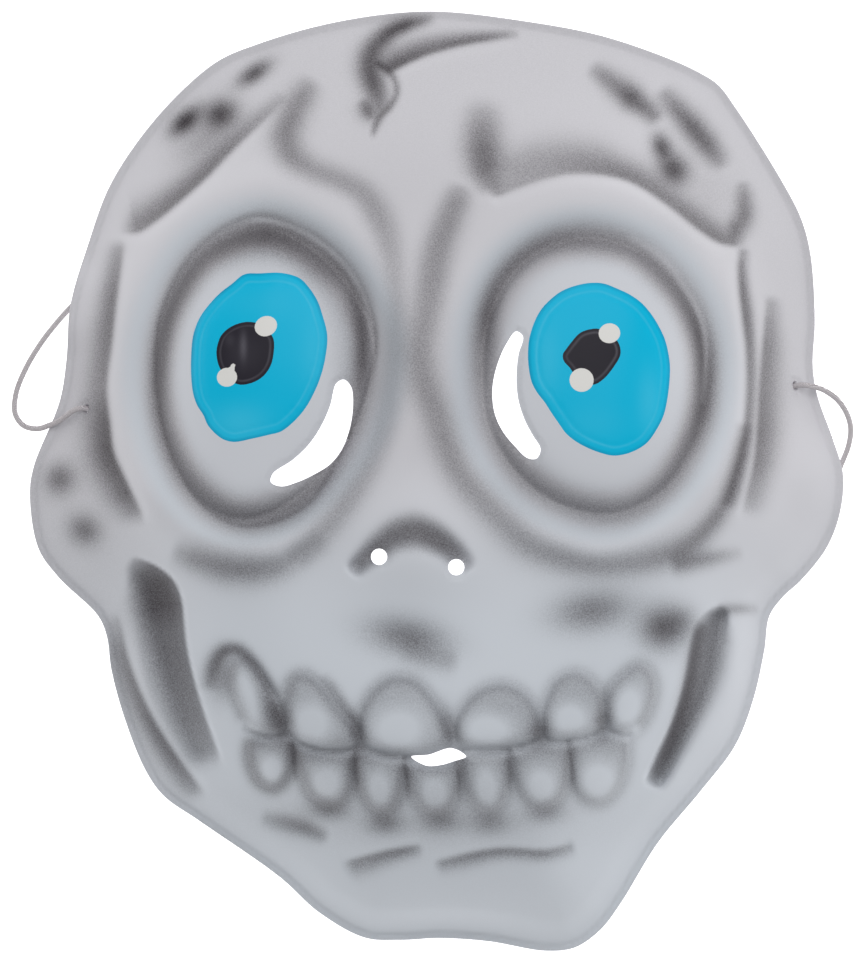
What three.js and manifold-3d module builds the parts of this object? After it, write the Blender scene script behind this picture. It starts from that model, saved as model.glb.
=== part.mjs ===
// A skeleton face mask: one thin moulded sheet with an elastic head cord, lying face up.
// Millimetres. +X is right and +Y is up on the face as seen from in front, +Z points out of the face.
// The origin is on the floor, under the middle of the sheet.

import * as THREE from 'three';
import { mergeVertices } from 'three/addons/utils/BufferGeometryUtils.js';
import Module from 'manifold-3d';

const wasm = await Module();
wasm.setup();

// The sheet
const faceWidth = 211;
const faceHeight = 243.5;
const faceDepth = 50;          // floor to the plain surface in the middle, without the relief
const sheetWall = 1.6;
const rimFlange = 2.6;         // nearly flat margin along the cut edge
const rimBend = 44;            // width over which the sheet climbs from the margin to its full depth
const rimSink = 0.3;           // how far the margin's underside is pressed flat where it rests
const crownLift = 7;           // the margin stands this far off the floor at the crown
const chinLift = 5;            // and this far at the chin

// The relief
const noseRise = 9;
const mouthRise = 6.5;
const chinRise = 4;
const eyeballRise = 7.5;
const orbitRise = 3;          // the round ridge that frames each eyeball
const orbitWidth = 11;
const socketDepth = 3;        // the groove between the eyeball and the ridge
const socketWidth = 5;
const creaseDepth = 2.2;
const jawSlotDepth = 6;
const toothRise = 3.4;

// The openings, the elastic and its knots
const nostrilDiameter = 4.2;
const cordDiameter = 1.4;
const cordClearance = 0.6;    // round the elastic in its hole, and under the rim where it passes
const knotWidth = 4.4;
const knotHeight = 3.2;
const meetGap = 0.3;          // kept between pieces that touch

// The faceting
const gridStep = 4.65;
const toothStep = 3.3;        // finer rows across the teeth
const crispEdge = 3;          // width of the crisp side of a crease
const routeSteps = 6;         // straight bits between two points of a crease
const outlineSteps = 3;
const holeSides = 14;
const cordSides = 8;
const cordSteps = 70;
const knotSides = 10;
const knotRings = 6;

const halfWidth = faceWidth / 2;
const halfHeight = faceHeight / 2;

// Places on the face are [across, up] in hundredths of half its width and of half its height.
// Spans across the face are in hundredths of half its width too.
const hundredth = 0.01;
const spanOf = (across) => across * hundredth * halfWidth;
const placeOf = ([across, up]) => new THREE.Vector2(spanOf(across), up * hundredth * halfHeight);

// The cut edge, clockwise from the crown
const outlinePlaces = [
  [1, 100], [20.6, 98.1], [40.3, 94.9], [57.6, 89.8], [65, 86.8], [69.2, 84.4], [73.5, 79.5], [84.7, 64.2],
  [89.6, 56], [91.9, 48.5], [93, 34.3], [92.5, 24.5], [93.6, 18.3], [97.5, 8.7], [99.9, 1.3], [99, -7.2],
  [95.8, -14.3], [89.6, -21.1], [85.2, -24.6], [81.8, -28.8], [80.6, -36], [77.8, -46.7], [73.4, -56.3],
  [65, -65.9], [54.4, -77], [45.3, -89.8], [40.3, -95.5], [34, -99.3], [26.8, -100], [13, -98],
  [0.9, -97.3], [-9, -97.7], [-17.6, -97.2], [-28.7, -91.9], [-38.6, -84.2], [-58.3, -72.3], [-67, -67],
  [-71.5, -61.5], [-76.8, -50], [-79.9, -40], [-81, -33], [-83.2, -28.6], [-92.8, -20.5], [-97.8, -14.3],
  [-99.9, -3], [-99, 3], [-92.6, 17], [-90.9, 26], [-89.9, 37.5], [-85.5, 50.7], [-80.5, 62.5],
  [-73.1, 72.7], [-63.3, 82.5], [-53.4, 89.6], [-43.5, 93.2], [-28.7, 97], [-12, 99.5],
];

// Soft swellings of the face: middle, half spans (across, up) and rise
const swellings = [
  { name: 'nose bridge', middle: [-5, 22], half: [10, 30], rise: 0.45 * noseRise },
  { name: 'nose tip', middle: [-5, -14], half: [17, 12], rise: 0.75 * noseRise },
  { name: 'mouth', middle: [1, -52], half: [50, 24], rise: mouthRise },
  { name: 'chin', middle: [7, -88], half: [32, 9], rise: chinRise },
  { name: 'left cheekbone', middle: [-62, -12], half: [24, 12], rise: 0.7 * chinRise },
  { name: 'right cheekbone', middle: [62, -18], half: [24, 12], rise: 0.7 * chinRise },
  { name: 'left jaw branch', middle: [-73, -38], half: [4.5, 14], rise: 0.7 * chinRise },
  { name: 'right jaw branch', middle: [75, -42], half: [4.5, 15], rise: 0.5 * chinRise },
];

// Each eye: the middle of its socket and the groove round its eyeball, clockwise from the top
const eyes = [
  {
    name: 'left', middle: [-42, 22.5],
    groove: [[-42.3, 53.1], [-30, 48.5], [-20.5, 39.5], [-16, 30], [-16.6, 20], [-20.5, 11], [-26, 4],
      [-33, -2.2], [-42, -7], [-50, -7.6], [-58.5, -3.4], [-64.8, 6.5], [-68.5, 18], [-68.2, 28],
      [-64.2, 39.5], [-55.5, 49]],
  },
  {
    name: 'right', middle: [39.5, 22],
    groove: [[38, 51], [50, 48], [58, 42], [63, 34.5], [65.5, 25], [65, 15], [61.5, 6], [54.5, -2],
      [43, -6.6], [30, -4.6], [20, 1.8], [13.4, 11], [11.6, 22], [13, 34], [19, 43.8], [28, 49.4]],
  },
];

// Creases: the route, the reach of the soft side, the depth as a share of creaseDepth, and which
// side is crisp when one looks along the route
const creases = [
  { name: 'left brow', crisp: 'left', reach: 5, depth: 1.1,
    route: [[-37, 82], [-46, 76], [-54.6, 69.5], [-62, 63.5], [-68, 59.5], [-74.4, 55.6]] },
  { name: 'left temple', crisp: 'left', reach: 6, depth: 1.3,
    route: [[-77.5, 50], [-79, 40], [-80.3, 30], [-81.4, 20], [-81.2, 14], [-80, 8], [-78, 2],
      [-73.6, -6.5]] },
  { name: 'left bridge', crisp: 'none', reach: 5, depth: 0.8,
    route: [[-30.7, 83], [-36.5, 77], [-37, 70], [-31.2, 65.2], [-21.3, 62], [-15.2, 56.7], [-11, 47],
      [-9, 32], [-11.5, 17], [-16.4, 6.6], [-23.8, -4.1], [-31.2, -12.6]] },
  { name: 'left cheek', crisp: 'none', reach: 4.5, depth: 0.9,
    route: [[-31, -12.6], [-36, -17.5], [-44.8, -18.8], [-54.6, -18], [-63.3, -16.2]] },
  { name: 'right brow', crisp: 'right', reach: 6, depth: 1.1,
    route: [[10.2, 64.6], [14.4, 61.2], [20.6, 62], [30.5, 64.6], [40.3, 65.4], [50.2, 63.6], [60, 58],
      [66, 54], [72.4, 51.4]] },
  { name: 'right brow end', crisp: 'none', reach: 3.5, depth: 0.6,
    route: [[70, 54], [75, 55.5], [75.5, 61.5]] },
  { name: 'right forehead', crisp: 'none', reach: 4.5, depth: 0.8, route: [[11, 79], [11, 72], [12, 65]] },
  { name: 'right bridge', crisp: 'none', reach: 5, depth: 0.8,
    route: [[5.8, 61], [0.9, 54.6], [-1.6, 45], [-2.6, 32], [-1.6, 17], [0.9, 6.6], [7, -1.9], [15.7, -9.4],
      [26.8, -15.8]] },
  { name: 'right cheek', crisp: 'none', reach: 5, depth: 0.9,
    route: [[26.8, -15.8], [40.3, -18.2], [52.7, -17.3], [63, -14], [68.5, -5], [73, 4]] },
  { name: 'right temple', crisp: 'right', reach: 3, depth: 1,
    route: [[75, 47], [74.3, 41], [75.8, 33], [76.4, 24], [76, 15], [74.4, 7], [70, -2.5]] },
  { name: 'right flare', crisp: 'right', reach: 5, depth: 0.9,
    route: [[81, 38], [80.4, 29], [80.1, 20], [80, 12], [79, 4], [76.5, -3]] },
  { name: 'crown crack', crisp: 'none', reach: 3.5, depth: 1.2,
    route: [[-4, 98], [-12.7, 95.6], [-15.6, 91], [-15.9, 86], [-14.6, 81], [-15.4, 73]] },
  { name: 'crown branch', crisp: 'right', reach: 4, depth: 0.9,
    route: [[-13, 87.4], [-6.5, 91], [3.3, 92.8], [17, 94.8]] },
  { name: 'upper right pits', crisp: 'none', reach: 3, depth: 0.9,
    route: [[39, 87], [46.5, 81.5], [52.5, 77], [55.6, 71], [60.5, 64.5]] },
  { name: 'upper right band', crisp: 'none', reach: 3.5, depth: 0.9,
    route: [[55.5, 82.5], [62, 76.5], [69.5, 68]] },
  { name: 'nose arch', crisp: 'none', reach: 4, depth: 1.4,
    route: [[-20, -19], [-15.5, -13.8], [-11.5, -10], [-6, -8.2], [-1.4, -9.8], [3, -13.8], [7, -19]] },
  { name: 'lip hollow', crisp: 'none', reach: 4, depth: 0.9,
    route: [[-19, -31.5], [-8, -33.4], [4, -35.6]] },
  { name: 'bite line', crisp: 'left', reach: 7, depth: 1.3,
    route: [[-51, -49.5], [-46, -53], [-38, -54.2], [-32, -56], [-24, -57], [-18.4, -56.4], [-10, -58.3],
      [3.3, -56.6], [12, -57.1], [23, -55.4], [35, -54.4], [45, -53.8], [54, -50]] },
  { name: 'left jaw edge', crisp: 'left', reach: 5, depth: 1.3,
    route: [[-80.6, -25], [-78.5, -32], [-75.6, -39.2], [-72.4, -45.6], [-68.2, -52], [-64, -57.5],
      [-57, -66]] },
  { name: 'chin left', crisp: 'none', reach: 3, depth: 0.6,
    route: [[-42.3, -70.6], [-33.7, -73.3], [-25, -76]] },
  { name: 'chin middle', crisp: 'left', reach: 4, depth: 0.6,
    route: [[-22.6, -81], [-13.9, -79], [-3.5, -77.2]] },
  { name: 'chin right', crisp: 'left', reach: 4, depth: 0.6,
    route: [[1, -81], [8, -79], [18, -78], [26, -78.2], [33, -77.4]] },
];

// The two long slots between the mouth and the jaw's branches
const jawSlots = [
  { name: 'left jaw slot', crisp: 'left', reach: 10.5, depth: 1,
    route: [[-73, -16.5], [-65.2, -20.7], [-62.3, -27.5], [-61.8, -34], [-60.8, -39.2], [-58.8, -45.6],
      [-56.8, -52], [-54, -62]] },
  { name: 'right jaw slot', crisp: 'right', reach: 7.5, depth: 0.85,
    route: [[72, -27.2], [66.2, -28.6], [63.8, -31.6], [62.6, -37], [61.5, -42], [60, -47], [58, -52.3],
      [55.6, -57.4], [50.5, -67]] },
];

// Small pits: middle, half spans and depth as a share of creaseDepth
const pits = [
  { name: 'temple outer', middle: [-61.5, 76.5], half: [4, 2.6], depth: 1.1 },
  { name: 'temple inner', middle: [-53, 77.6], half: [4, 3], depth: 0.8 },
  { name: 'crown', middle: [-45.8, 86.2], half: [4.5, 2.6], depth: 0.9 },
  { name: 'left flare upper', middle: [-92, 0.2], half: [3.6, 3.2], depth: 0.9 },
  { name: 'left flare lower', middle: [-86.4, -9.8], half: [4, 3.2], depth: 0.9 },
  { name: 'right cheek inner', middle: [37.9, -27.1], half: [9, 3.6], depth: 0.6 },
  { name: 'right cheek outer', middle: [55, -31.6], half: [6.5, 4], depth: 1 },
];

// Teeth: middle, half spans (across, up) and lean to the left at the top in degrees
const teeth = [
  { name: 'upper 1', middle: [-45.4, -46], half: [5.6, 8.6], lean: 24 },
  { name: 'upper 2', middle: [-29, -48.6], half: [8.8, 8.4], lean: 20 },
  { name: 'upper 3', middle: [-7.8, -50.4], half: [11.2, 8], lean: 0 },
  { name: 'upper 4', middle: [14.6, -50.2], half: [10.6, 7.2], lean: 0 },
  { name: 'upper 5', middle: [33.2, -47.6], half: [7.8, 7.8], lean: -8 },
  { name: 'upper 6', middle: [47, -46], half: [6, 7.8], lean: -8 },
  { name: 'lower 1', middle: [-40.8, -60.4], half: [6.4, 5.8], lean: 0 },
  { name: 'lower 2', middle: [-27.2, -63], half: [6.6, 6.2], lean: 0 },
  { name: 'lower 3', middle: [-14.2, -64.4], half: [6, 6.4], lean: 0 },
  { name: 'lower 4', middle: [-1.2, -65.4], half: [6.2, 6], lean: 0 },
  { name: 'lower 5', middle: [11.8, -64.2], half: [5.8, 6.6], lean: 0 },
  { name: 'lower 6', middle: [25.2, -62.8], half: [6.8, 7], lean: 0 },
  { name: 'lower 7', middle: [39.8, -61.8], half: [7, 7.2], lean: 0 },
];
const toothSquareness = 3;

// The slots that are cut right through
const throughSlots = [
  { name: 'left eye slit', edge: [[-24.5, 20.7], [-22.6, 21.5], [-20.9, 20], [-20.4, 17], [-21, 12],
    [-23, 7], [-26, 3.6], [-30, 1.4], [-34, -0.2], [-38, -1.1], [-40.5, -0.2], [-40, 1.6], [-35, 4.6],
    [-31, 8], [-28, 12], [-26, 16]] },
  { name: 'right eye slit', edge: [[19.4, 31.7], [17, 29], [15.2, 25.6], [13.9, 21.5], [13.6, 18],
    [14.3, 14], [16.2, 10.5], [19, 7.5], [22.2, 4.9], [24.4, 4.8], [25.4, 6.8], [23.5, 9.7], [21.4, 13.2],
    [19.9, 17.5], [19.5, 22], [20, 26.8], [21.1, 30.6]] },
  { name: 'tooth slit', edge: [[-6.2, -58.3], [-2, -57.9], [3.3, -56.5], [6, -57.3], [7.2, -58.3],
    [4.5, -59.2], [1, -60.1], [-2.6, -60.2]] },
];
const nostrils = [[-14.05, -16], [4.8, -18.2]];
const cordHoles = [{ side: 'left', place: [-86.2, 15.4] }, { side: 'right', place: [88.2, 20.3] }];

// The rim is raised a little where the elastic passes under it
const underpasses = [{ place: [-90, 37.5], half: 10 }, { place: [98.6, 0.5], half: 12 }];

// The elastic's middle line in millimetres: out of the left hole, over the rim, round a loop,
// under the rim, plainly across the floor, and the same at the right
const cordRoute = [
  [-89.75, 18.41, 7.04], [-90.94, 18.82, 8.18], [-92.4, 18.9, 9.1], [-94.4, 18.1, 8.4], [-96.1, 16.9, 6.2],
  [-97.9, 15.6, 3.9], [-100.2, 14.6, 2.3], [-103.6, 13.6, 1.1], [-107.2, 14.5, 0.9], [-109.3, 17.6, 0.9],
  [-109.1, 22.6, 0.9], [-106.7, 28.9, 0.9], [-102.6, 35.8, 0.9], [-97.9, 41.8, 0.9], [-94.2, 45.8, 0.9],
  [-87, 52.6, 0.9], [-72, 60.4, 0.9], [-50, 66, 0.9], [-24, 68, 0.9], [4, 66.4, 0.9], [32, 60.4, 0.9],
  [56, 49.4, 0.9], [74, 34.6, 0.9], [84, 18.6, 0.9], [88.6, 5.4, 0.9], [93.4, -2.6, 0.9], [99, -3.6, 0.9],
  [102.9, 0.3, 0.9], [105.3, 5.2, 0.9], [106.9, 9.5, 0.9], [107.4, 13.6, 0.9], [106.4, 17.5, 0.95],
  [104, 21.1, 1.1], [101.2, 23.2, 1.9], [99.5, 24, 3.3], [97.7, 24.5, 5], [96, 24.8, 6.35],
  [94.5, 24.9, 6.4], [93.05, 24.72, 5.56], [91.74, 24.5, 4.67],
];

function curveThrough(places, closed) {
  const points = places.map((place) => new THREE.Vector3(placeOf(place).x, placeOf(place).y, 0));
  return new THREE.CatmullRomCurve3(points, closed, 'centripetal');
}

function samplesOf(places, closed, stepsPerPoint) {
  const count = (places.length - (closed ? 0 : 1)) * stepsPerPoint;
  return curveThrough(places, closed).getPoints(count).map((point) => new THREE.Vector2(point.x, point.y));
}

// The outline, fitted so that it is exactly as wide and as high as the face
function fittedOutline() {
  const samples = samplesOf(outlinePlaces, true, outlineSteps);
  const box = new THREE.Box2().setFromPoints(samples);
  const middle = box.getCenter(new THREE.Vector2());
  const size = box.getSize(new THREE.Vector2());
  return samples.map((point) => new THREE.Vector2(
    (point.x - middle.x) * faceWidth / size.x,
    (point.y - middle.y) * faceHeight / size.y,
  ));
}

// The nearest spot of a line of samples: how far it is, on which side, and how far along it lies
function nearestOn(samples, x, y) {
  let best = { distance: Infinity, side: 1, along: 0 };
  for (let i = 0; i + 1 < samples.length; i += 1) {
    const a = samples[i];
    const b = samples[i + 1];
    const dx = b.x - a.x;
    const dy = b.y - a.y;
    const share = THREE.MathUtils.clamp(((x - a.x) * dx + (y - a.y) * dy) / (dx * dx + dy * dy), 0, 1);
    const offX = x - a.x - share * dx;
    const offY = y - a.y - share * dy;
    const distance = Math.hypot(offX, offY);
    if (distance < best.distance) {
      const side = Math.sign(dx * offY - dy * offX) || 1;
      best = { distance, side, along: (i + share) / (samples.length - 1) };
    }
  }
  return best;
}

const outline = fittedOutline();

// Distance from the cut edge, positive on the sheet
function insetAt(x, y) {
  const nearest = nearestOn(outline, x, y);
  let inside = false;
  for (let i = 0, j = outline.length - 1; i < outline.length; j = i, i += 1) {
    const a = outline[i];
    const b = outline[j];
    if ((a.y > y) !== (b.y > y) && x < (b.x - a.x) * (y - a.y) / (b.y - a.y) + a.x) {
      inside = !inside;
    }
  }
  return inside ? nearest.distance : -nearest.distance;
}

// How high the front of the margin lies
const crownStart = 0.5;
const chinStart = 0.35;
function rimHeightAt(x, y) {
  const up = y / halfHeight;
  let height = sheetWall - rimSink;
  height += crownLift * THREE.MathUtils.smoothstep(up, crownStart, 1);
  height += chinLift * THREE.MathUtils.smoothstep(-up, chinStart, 1);
  for (const { place, half } of underpasses) {
    const middle = placeOf(place);
    const away = Math.hypot(x - middle.x, y - middle.y) / spanOf(half);
    height += (cordDiameter + 2 * cordClearance + rimSink) * Math.exp(-(away ** 4));
  }
  return height;
}

// The plain face without its relief falls off to the sides, the crown and the chin
const sideFall = 0.4;
const endFall = 0.3;
const sideSteepness = 2.3;
const endSteepness = 2.6;
function plainHeightAt(x, y) {
  const sideways = Math.abs(x / halfWidth) ** sideSteepness;
  const endways = Math.abs(y / halfHeight) ** endSteepness;
  return faceDepth * (1 - sideFall * sideways - endFall * endways);
}

function swellingAt({ middle, half, rise }, x, y) {
  const place = placeOf(middle);
  const across = (x - place.x) / spanOf(half[0]);
  const up = (y - place.y) / (half[1] * hundredth * halfHeight);
  return rise * Math.exp(-(across * across + up * up));
}

const endTaper = 0.22;        // share of a crease over which its ends run out
function creaseAt({ samples, crisp, reach, depth }, x, y) {
  const { distance, side, along } = nearestOn(samples, x, y);
  const onCrispSide = (crisp === 'left' && side > 0) || (crisp === 'right' && side < 0);
  const width = onCrispSide ? crispEdge : spanOf(reach);
  const ends = THREE.MathUtils.smoothstep(Math.min(along, 1 - along), 0, endTaper);
  return depth * ends * Math.exp(-((distance / width) ** 2));
}

// Each socket's groove as a distance from the eye's middle in every direction
const fullTurn = 2 * Math.PI;
function grooveReach(eye) {
  const middle = placeOf(eye.middle);
  const samples = samplesOf(eye.groove, true, routeSteps);
  return samples.map((point) => ({
    angle: Math.atan2(point.y - middle.y, point.x - middle.x),
    distance: Math.hypot(point.x - middle.x, point.y - middle.y),
  })).sort((a, b) => a.angle - b.angle);
}

function reachAt(table, angle) {
  const next = table.findIndex((row) => row.angle >= angle);
  const after = next < 0 ? { ...table[0], angle: table[0].angle + fullTurn } : table[next];
  const before = next > 0 ? table[next - 1] : table[table.length - 1];
  const start = next === 0 ? before.angle - fullTurn : before.angle;
  const span = after.angle - start || 1;
  return THREE.MathUtils.lerp(before.distance, after.distance, (angle - start) / span);
}

const eyeTables = eyes.map((eye) => ({ middle: placeOf(eye.middle), table: grooveReach(eye) }));
const ballFullness = 0.6;
const ridgeSpread = 0.6 * orbitWidth;
function eyesAt(x, y) {
  let height = 0;
  for (const { middle, table } of eyeTables) {
    const away = Math.hypot(x - middle.x, y - middle.y);
    const groove = reachAt(table, Math.atan2(y - middle.y, x - middle.x));
    const past = away - groove;
    height -= socketDepth * Math.exp(-((past / socketWidth) ** 2));
    height += orbitRise * Math.exp(-(((past - orbitWidth) / ridgeSpread) ** 2));
    if (away < groove) {
      height += eyeballRise * (1 - (away / groove) ** 2) ** ballFullness;
    }
  }
  return height;
}

function toothAt({ middle, half, lean }, x, y) {
  const place = placeOf(middle);
  const turn = THREE.MathUtils.degToRad(-lean);
  const dx = x - place.x;
  const dy = y - place.y;
  const across = (dx * Math.cos(turn) + dy * Math.sin(turn)) / spanOf(half[0]);
  const up = (dy * Math.cos(turn) - dx * Math.sin(turn)) / (half[1] * hundredth * halfHeight);
  const out = Math.abs(across) ** toothSquareness + Math.abs(up) ** toothSquareness;
  return out < 1 ? toothRise * Math.sqrt(1 - out) : 0;
}

const withSamples = (crease) => ({ ...crease, samples: samplesOf(crease.route, false, routeSteps) });
const softCreases = creases.map(withSamples);
const deepSlots = jawSlots.map(withSamples);

function reliefAt(x, y) {
  let height = eyesAt(x, y);
  for (const swelling of swellings) {
    height += swellingAt(swelling, x, y);
  }
  for (const crease of softCreases) {
    height -= creaseDepth * creaseAt(crease, x, y);
  }
  for (const slot of deepSlots) {
    height -= jawSlotDepth * creaseAt(slot, x, y);
  }
  for (const pit of pits) {
    height -= creaseDepth * swellingAt({ ...pit, rise: pit.depth }, x, y);
  }
  return height + Math.max(...teeth.map((tooth) => toothAt(tooth, x, y)));
}

// The front of the sheet
const reliefFade = 7;         // from the margin to where the relief has its full depth
const climbEase = 0.85;       // below 1 the sheet leaves its margin steeply
function frontAt(x, y) {
  const inset = insetAt(x, y) - rimFlange;
  const climb = Math.sin(THREE.MathUtils.clamp(inset / rimBend, 0, 1) * Math.PI / 2) ** climbEase;
  const rim = rimHeightAt(x, y);
  const relief = reliefAt(x, y) * THREE.MathUtils.smoothstep(inset, 0, reliefFade);
  return rim + (plainHeightAt(x, y) - rim) * climb + relief;
}

// The same front, rounded off to what the facets can follow
const facetReach = 0.36 * gridStep;
function facetedFrontAt(x, y) {
  const sides = frontAt(x - facetReach, y) + frontAt(x + facetReach, y);
  const ends = frontAt(x, y - facetReach) + frontAt(x, y + facetReach);
  return (2 * frontAt(x, y) + sides + ends) / 6;
}

const probe = 0.6;
function slopeAt(x, y) {
  return new THREE.Vector2(
    (facetedFrontAt(x + probe, y) - facetedFrontAt(x - probe, y)) / (2 * probe),
    (facetedFrontAt(x, y + probe) - facetedFrontAt(x, y - probe)) / (2 * probe),
  );
}

// Grid lines from one end to the other, closer together between two of them
function gridLines(end, step, fineFrom = 0, fineTo = 0, fineStep = step) {
  const lines = [-end];
  while (lines[lines.length - 1] < end) {
    const last = lines[lines.length - 1];
    lines.push(last + (last >= fineFrom && last < fineTo ? fineStep : step));
  }
  return lines;
}

function solidOf(geometry) {
  geometry.deleteAttribute('normal');
  geometry.deleteAttribute('uv');
  const merged = mergeVertices(geometry, 1e-4);
  return new wasm.Manifold(new wasm.Mesh({
    numProp: 3,
    vertProperties: new Float32Array(merged.attributes.position.array),
    triVerts: new Uint32Array(merged.index.array),
  }));
}

function geometryOf(solid) {
  const mesh = solid.getMesh();
  const geometry = new THREE.BufferGeometry();
  geometry.setAttribute('position', new THREE.BufferAttribute(mesh.vertProperties, 3));
  geometry.setIndex(new THREE.BufferAttribute(mesh.triVerts, 1));
  geometry.computeVertexNormals();
  return geometry;
}

// A sheet of even wall over the whole grid, still without its outline
const teethFrom = -0.72 * halfHeight;
const teethTo = -0.38 * halfHeight;
function gridSheet() {
  const margin = gridStep;
  const xs = gridLines(halfWidth + margin, gridStep);
  const ys = gridLines(halfHeight + margin, gridStep, teethFrom, teethTo, toothStep);
  const front = [];
  const back = [];
  for (const y of ys) {
    for (const x of xs) {
      const height = facetedFrontAt(x, y);
      const wall = sheetWall * Math.hypot(1, slopeAt(x, y).length());
      front.push(x, y, height);
      back.push(x, y, height - wall);
    }
  }
  const backStart = front.length / 3;
  const triangles = [];
  const addFacet = (a, b, c) => {
    triangles.push(a, b, c, backStart + a, backStart + c, backStart + b);
  };
  const heightOf = (corner) => front[3 * corner + 2];
  for (let j = 0; j + 1 < ys.length; j += 1) {
    for (let i = 0; i + 1 < xs.length; i += 1) {
      const lowLeft = j * xs.length + i;
      const lowRight = lowLeft + 1;
      const highLeft = lowLeft + xs.length;
      const highRight = highLeft + 1;
      const cellMiddle = facetedFrontAt((xs[i] + xs[i + 1]) / 2, (ys[j] + ys[j + 1]) / 2);
      const risingMiss = Math.abs((heightOf(lowLeft) + heightOf(highRight)) / 2 - cellMiddle);
      const fallingMiss = Math.abs((heightOf(highLeft) + heightOf(lowRight)) / 2 - cellMiddle);
      if (risingMiss < fallingMiss) {
        addFacet(lowLeft, lowRight, highRight);
        addFacet(lowLeft, highRight, highLeft);
      } else {
        addFacet(lowLeft, lowRight, highLeft);
        addFacet(lowRight, highRight, highLeft);
      }
    }
  }
  const addEdge = (a, b) => {
    triangles.push(b, a, backStart + a, b, backStart + a, backStart + b);
  };
  const lastRow = (ys.length - 1) * xs.length;
  for (let i = 0; i + 1 < xs.length; i += 1) {
    addEdge(i, i + 1);
    addEdge(lastRow + i + 1, lastRow + i);
  }
  for (let j = 0; j + 1 < ys.length; j += 1) {
    addEdge((j + 1) * xs.length, j * xs.length);
    addEdge(j * xs.length + xs.length - 1, (j + 2) * xs.length - 1);
  }
  const geometry = new THREE.BufferGeometry();
  geometry.setAttribute('position', new THREE.Float32BufferAttribute([...front, ...back], 3));
  geometry.setIndex(triangles);
  return geometry;
}

// An upright block with the given edge, from the floor to above the face
const blockHeight = 2 * faceDepth;
function uprightBlock(points) {
  const shape = new THREE.Shape(points.slice(0, -1));
  return solidOf(new THREE.ExtrudeGeometry(shape, { depth: blockHeight, bevelEnabled: false }));
}

function holeDrill(place, diameter, direction, length) {
  const { x, y } = placeOf(place);
  const drill = new THREE.CylinderGeometry(diameter / 2, diameter / 2, length, holeSides);
  drill.applyQuaternion(new THREE.Quaternion().setFromUnitVectors(new THREE.Vector3(0, 1, 0), direction));
  drill.translate(x, y, facetedFrontAt(x, y));
  return solidOf(drill);
}

function outwardAt(place) {
  const { x, y } = placeOf(place);
  const slope = slopeAt(x, y);
  return new THREE.Vector3(-slope.x, -slope.y, 1).normalize();
}

const cordHoleDiameter = cordDiameter + 2 * cordClearance;
const cordDrillLength = 6 * sheetWall;
function maskShell() {
  const straightOut = new THREE.Vector3(0, 0, 1);
  let solid = solidOf(gridSheet()).intersect(uprightBlock(outline));
  for (const { edge } of throughSlots) {
    solid = solid.subtract(uprightBlock(samplesOf(edge, true, outlineSteps)));
  }
  for (const place of nostrils) {
    solid = solid.subtract(holeDrill(place, nostrilDiameter, straightOut, blockHeight / 2));
  }
  for (const { place } of cordHoles) {
    solid = solid.subtract(holeDrill(place, cordHoleDiameter, outwardAt(place), cordDrillLength));
  }
  return geometryOf(solid);
}

// A knot is a squashed ball seated behind its hole
function knotGeometry(place) {
  const { x, y } = placeOf(place);
  const outward = outwardAt(place);
  const ball = new THREE.SphereGeometry(knotWidth / 2, knotSides, knotRings);
  ball.scale(1, knotHeight / knotWidth, 1);
  ball.applyQuaternion(new THREE.Quaternion().setFromUnitVectors(new THREE.Vector3(0, 1, 0), outward));
  const seat = new THREE.Vector3(x, y, facetedFrontAt(x, y));
  seat.addScaledVector(outward, -(sheetWall + meetGap + knotHeight / 2));
  ball.translate(seat.x, seat.y, seat.z);
  return ball;
}

function cordGeometry() {
  const corners = [];
  for (let i = 0; i < cordSides; i += 1) {
    const angle = fullTurn * i / cordSides;
    corners.push(new THREE.Vector2(Math.cos(angle), Math.sin(angle)).multiplyScalar(cordDiameter / 2));
  }
  const points = cordRoute.map((point) => new THREE.Vector3(...point));
  const path = new THREE.CatmullRomCurve3(points, false, 'centripetal');
  return new THREE.ExtrudeGeometry(new THREE.Shape(corners), { steps: cordSteps, extrudePath: path });
}

const sheetMaterial = () => new THREE.MeshStandardMaterial({ color: 0xc8c8ce, roughness: 0.5, metalness: 0 });
const cordMaterial = () => new THREE.MeshStandardMaterial({ color: 0xb4b0b2, roughness: 0.85, metalness: 0 });

function namedMesh(name, geometry, material) {
  const mesh = new THREE.Mesh(geometry, material);
  mesh.name = name;
  return mesh;
}

const mask = new THREE.Group();
mask.add(namedMesh('mask_shell', maskShell(), sheetMaterial()));
mask.add(namedMesh('elastic', cordGeometry(), cordMaterial()));
for (const { side, place } of cordHoles) {
  mask.add(namedMesh(`knot_${side}`, knotGeometry(place), cordMaterial()));
}

export default mask;
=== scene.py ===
import math
import bpy
import numpy as np
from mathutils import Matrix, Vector
from mathutils.geometry import delaunay_2d_cdt
from mathutils.kdtree import KDTree


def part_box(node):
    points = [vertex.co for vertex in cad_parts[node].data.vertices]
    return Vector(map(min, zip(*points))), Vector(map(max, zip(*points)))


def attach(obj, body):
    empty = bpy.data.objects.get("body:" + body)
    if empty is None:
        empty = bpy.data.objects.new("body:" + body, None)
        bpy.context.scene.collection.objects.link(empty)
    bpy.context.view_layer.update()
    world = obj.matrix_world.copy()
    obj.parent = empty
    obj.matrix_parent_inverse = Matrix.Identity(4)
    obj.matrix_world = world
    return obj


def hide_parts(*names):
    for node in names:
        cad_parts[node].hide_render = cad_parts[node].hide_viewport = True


# A skeleton face mask: one moulded, airbrushed sheet with painted eyes and a loose elastic.
# Metres, face up. +X is right and +Y is up on the face.

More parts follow.
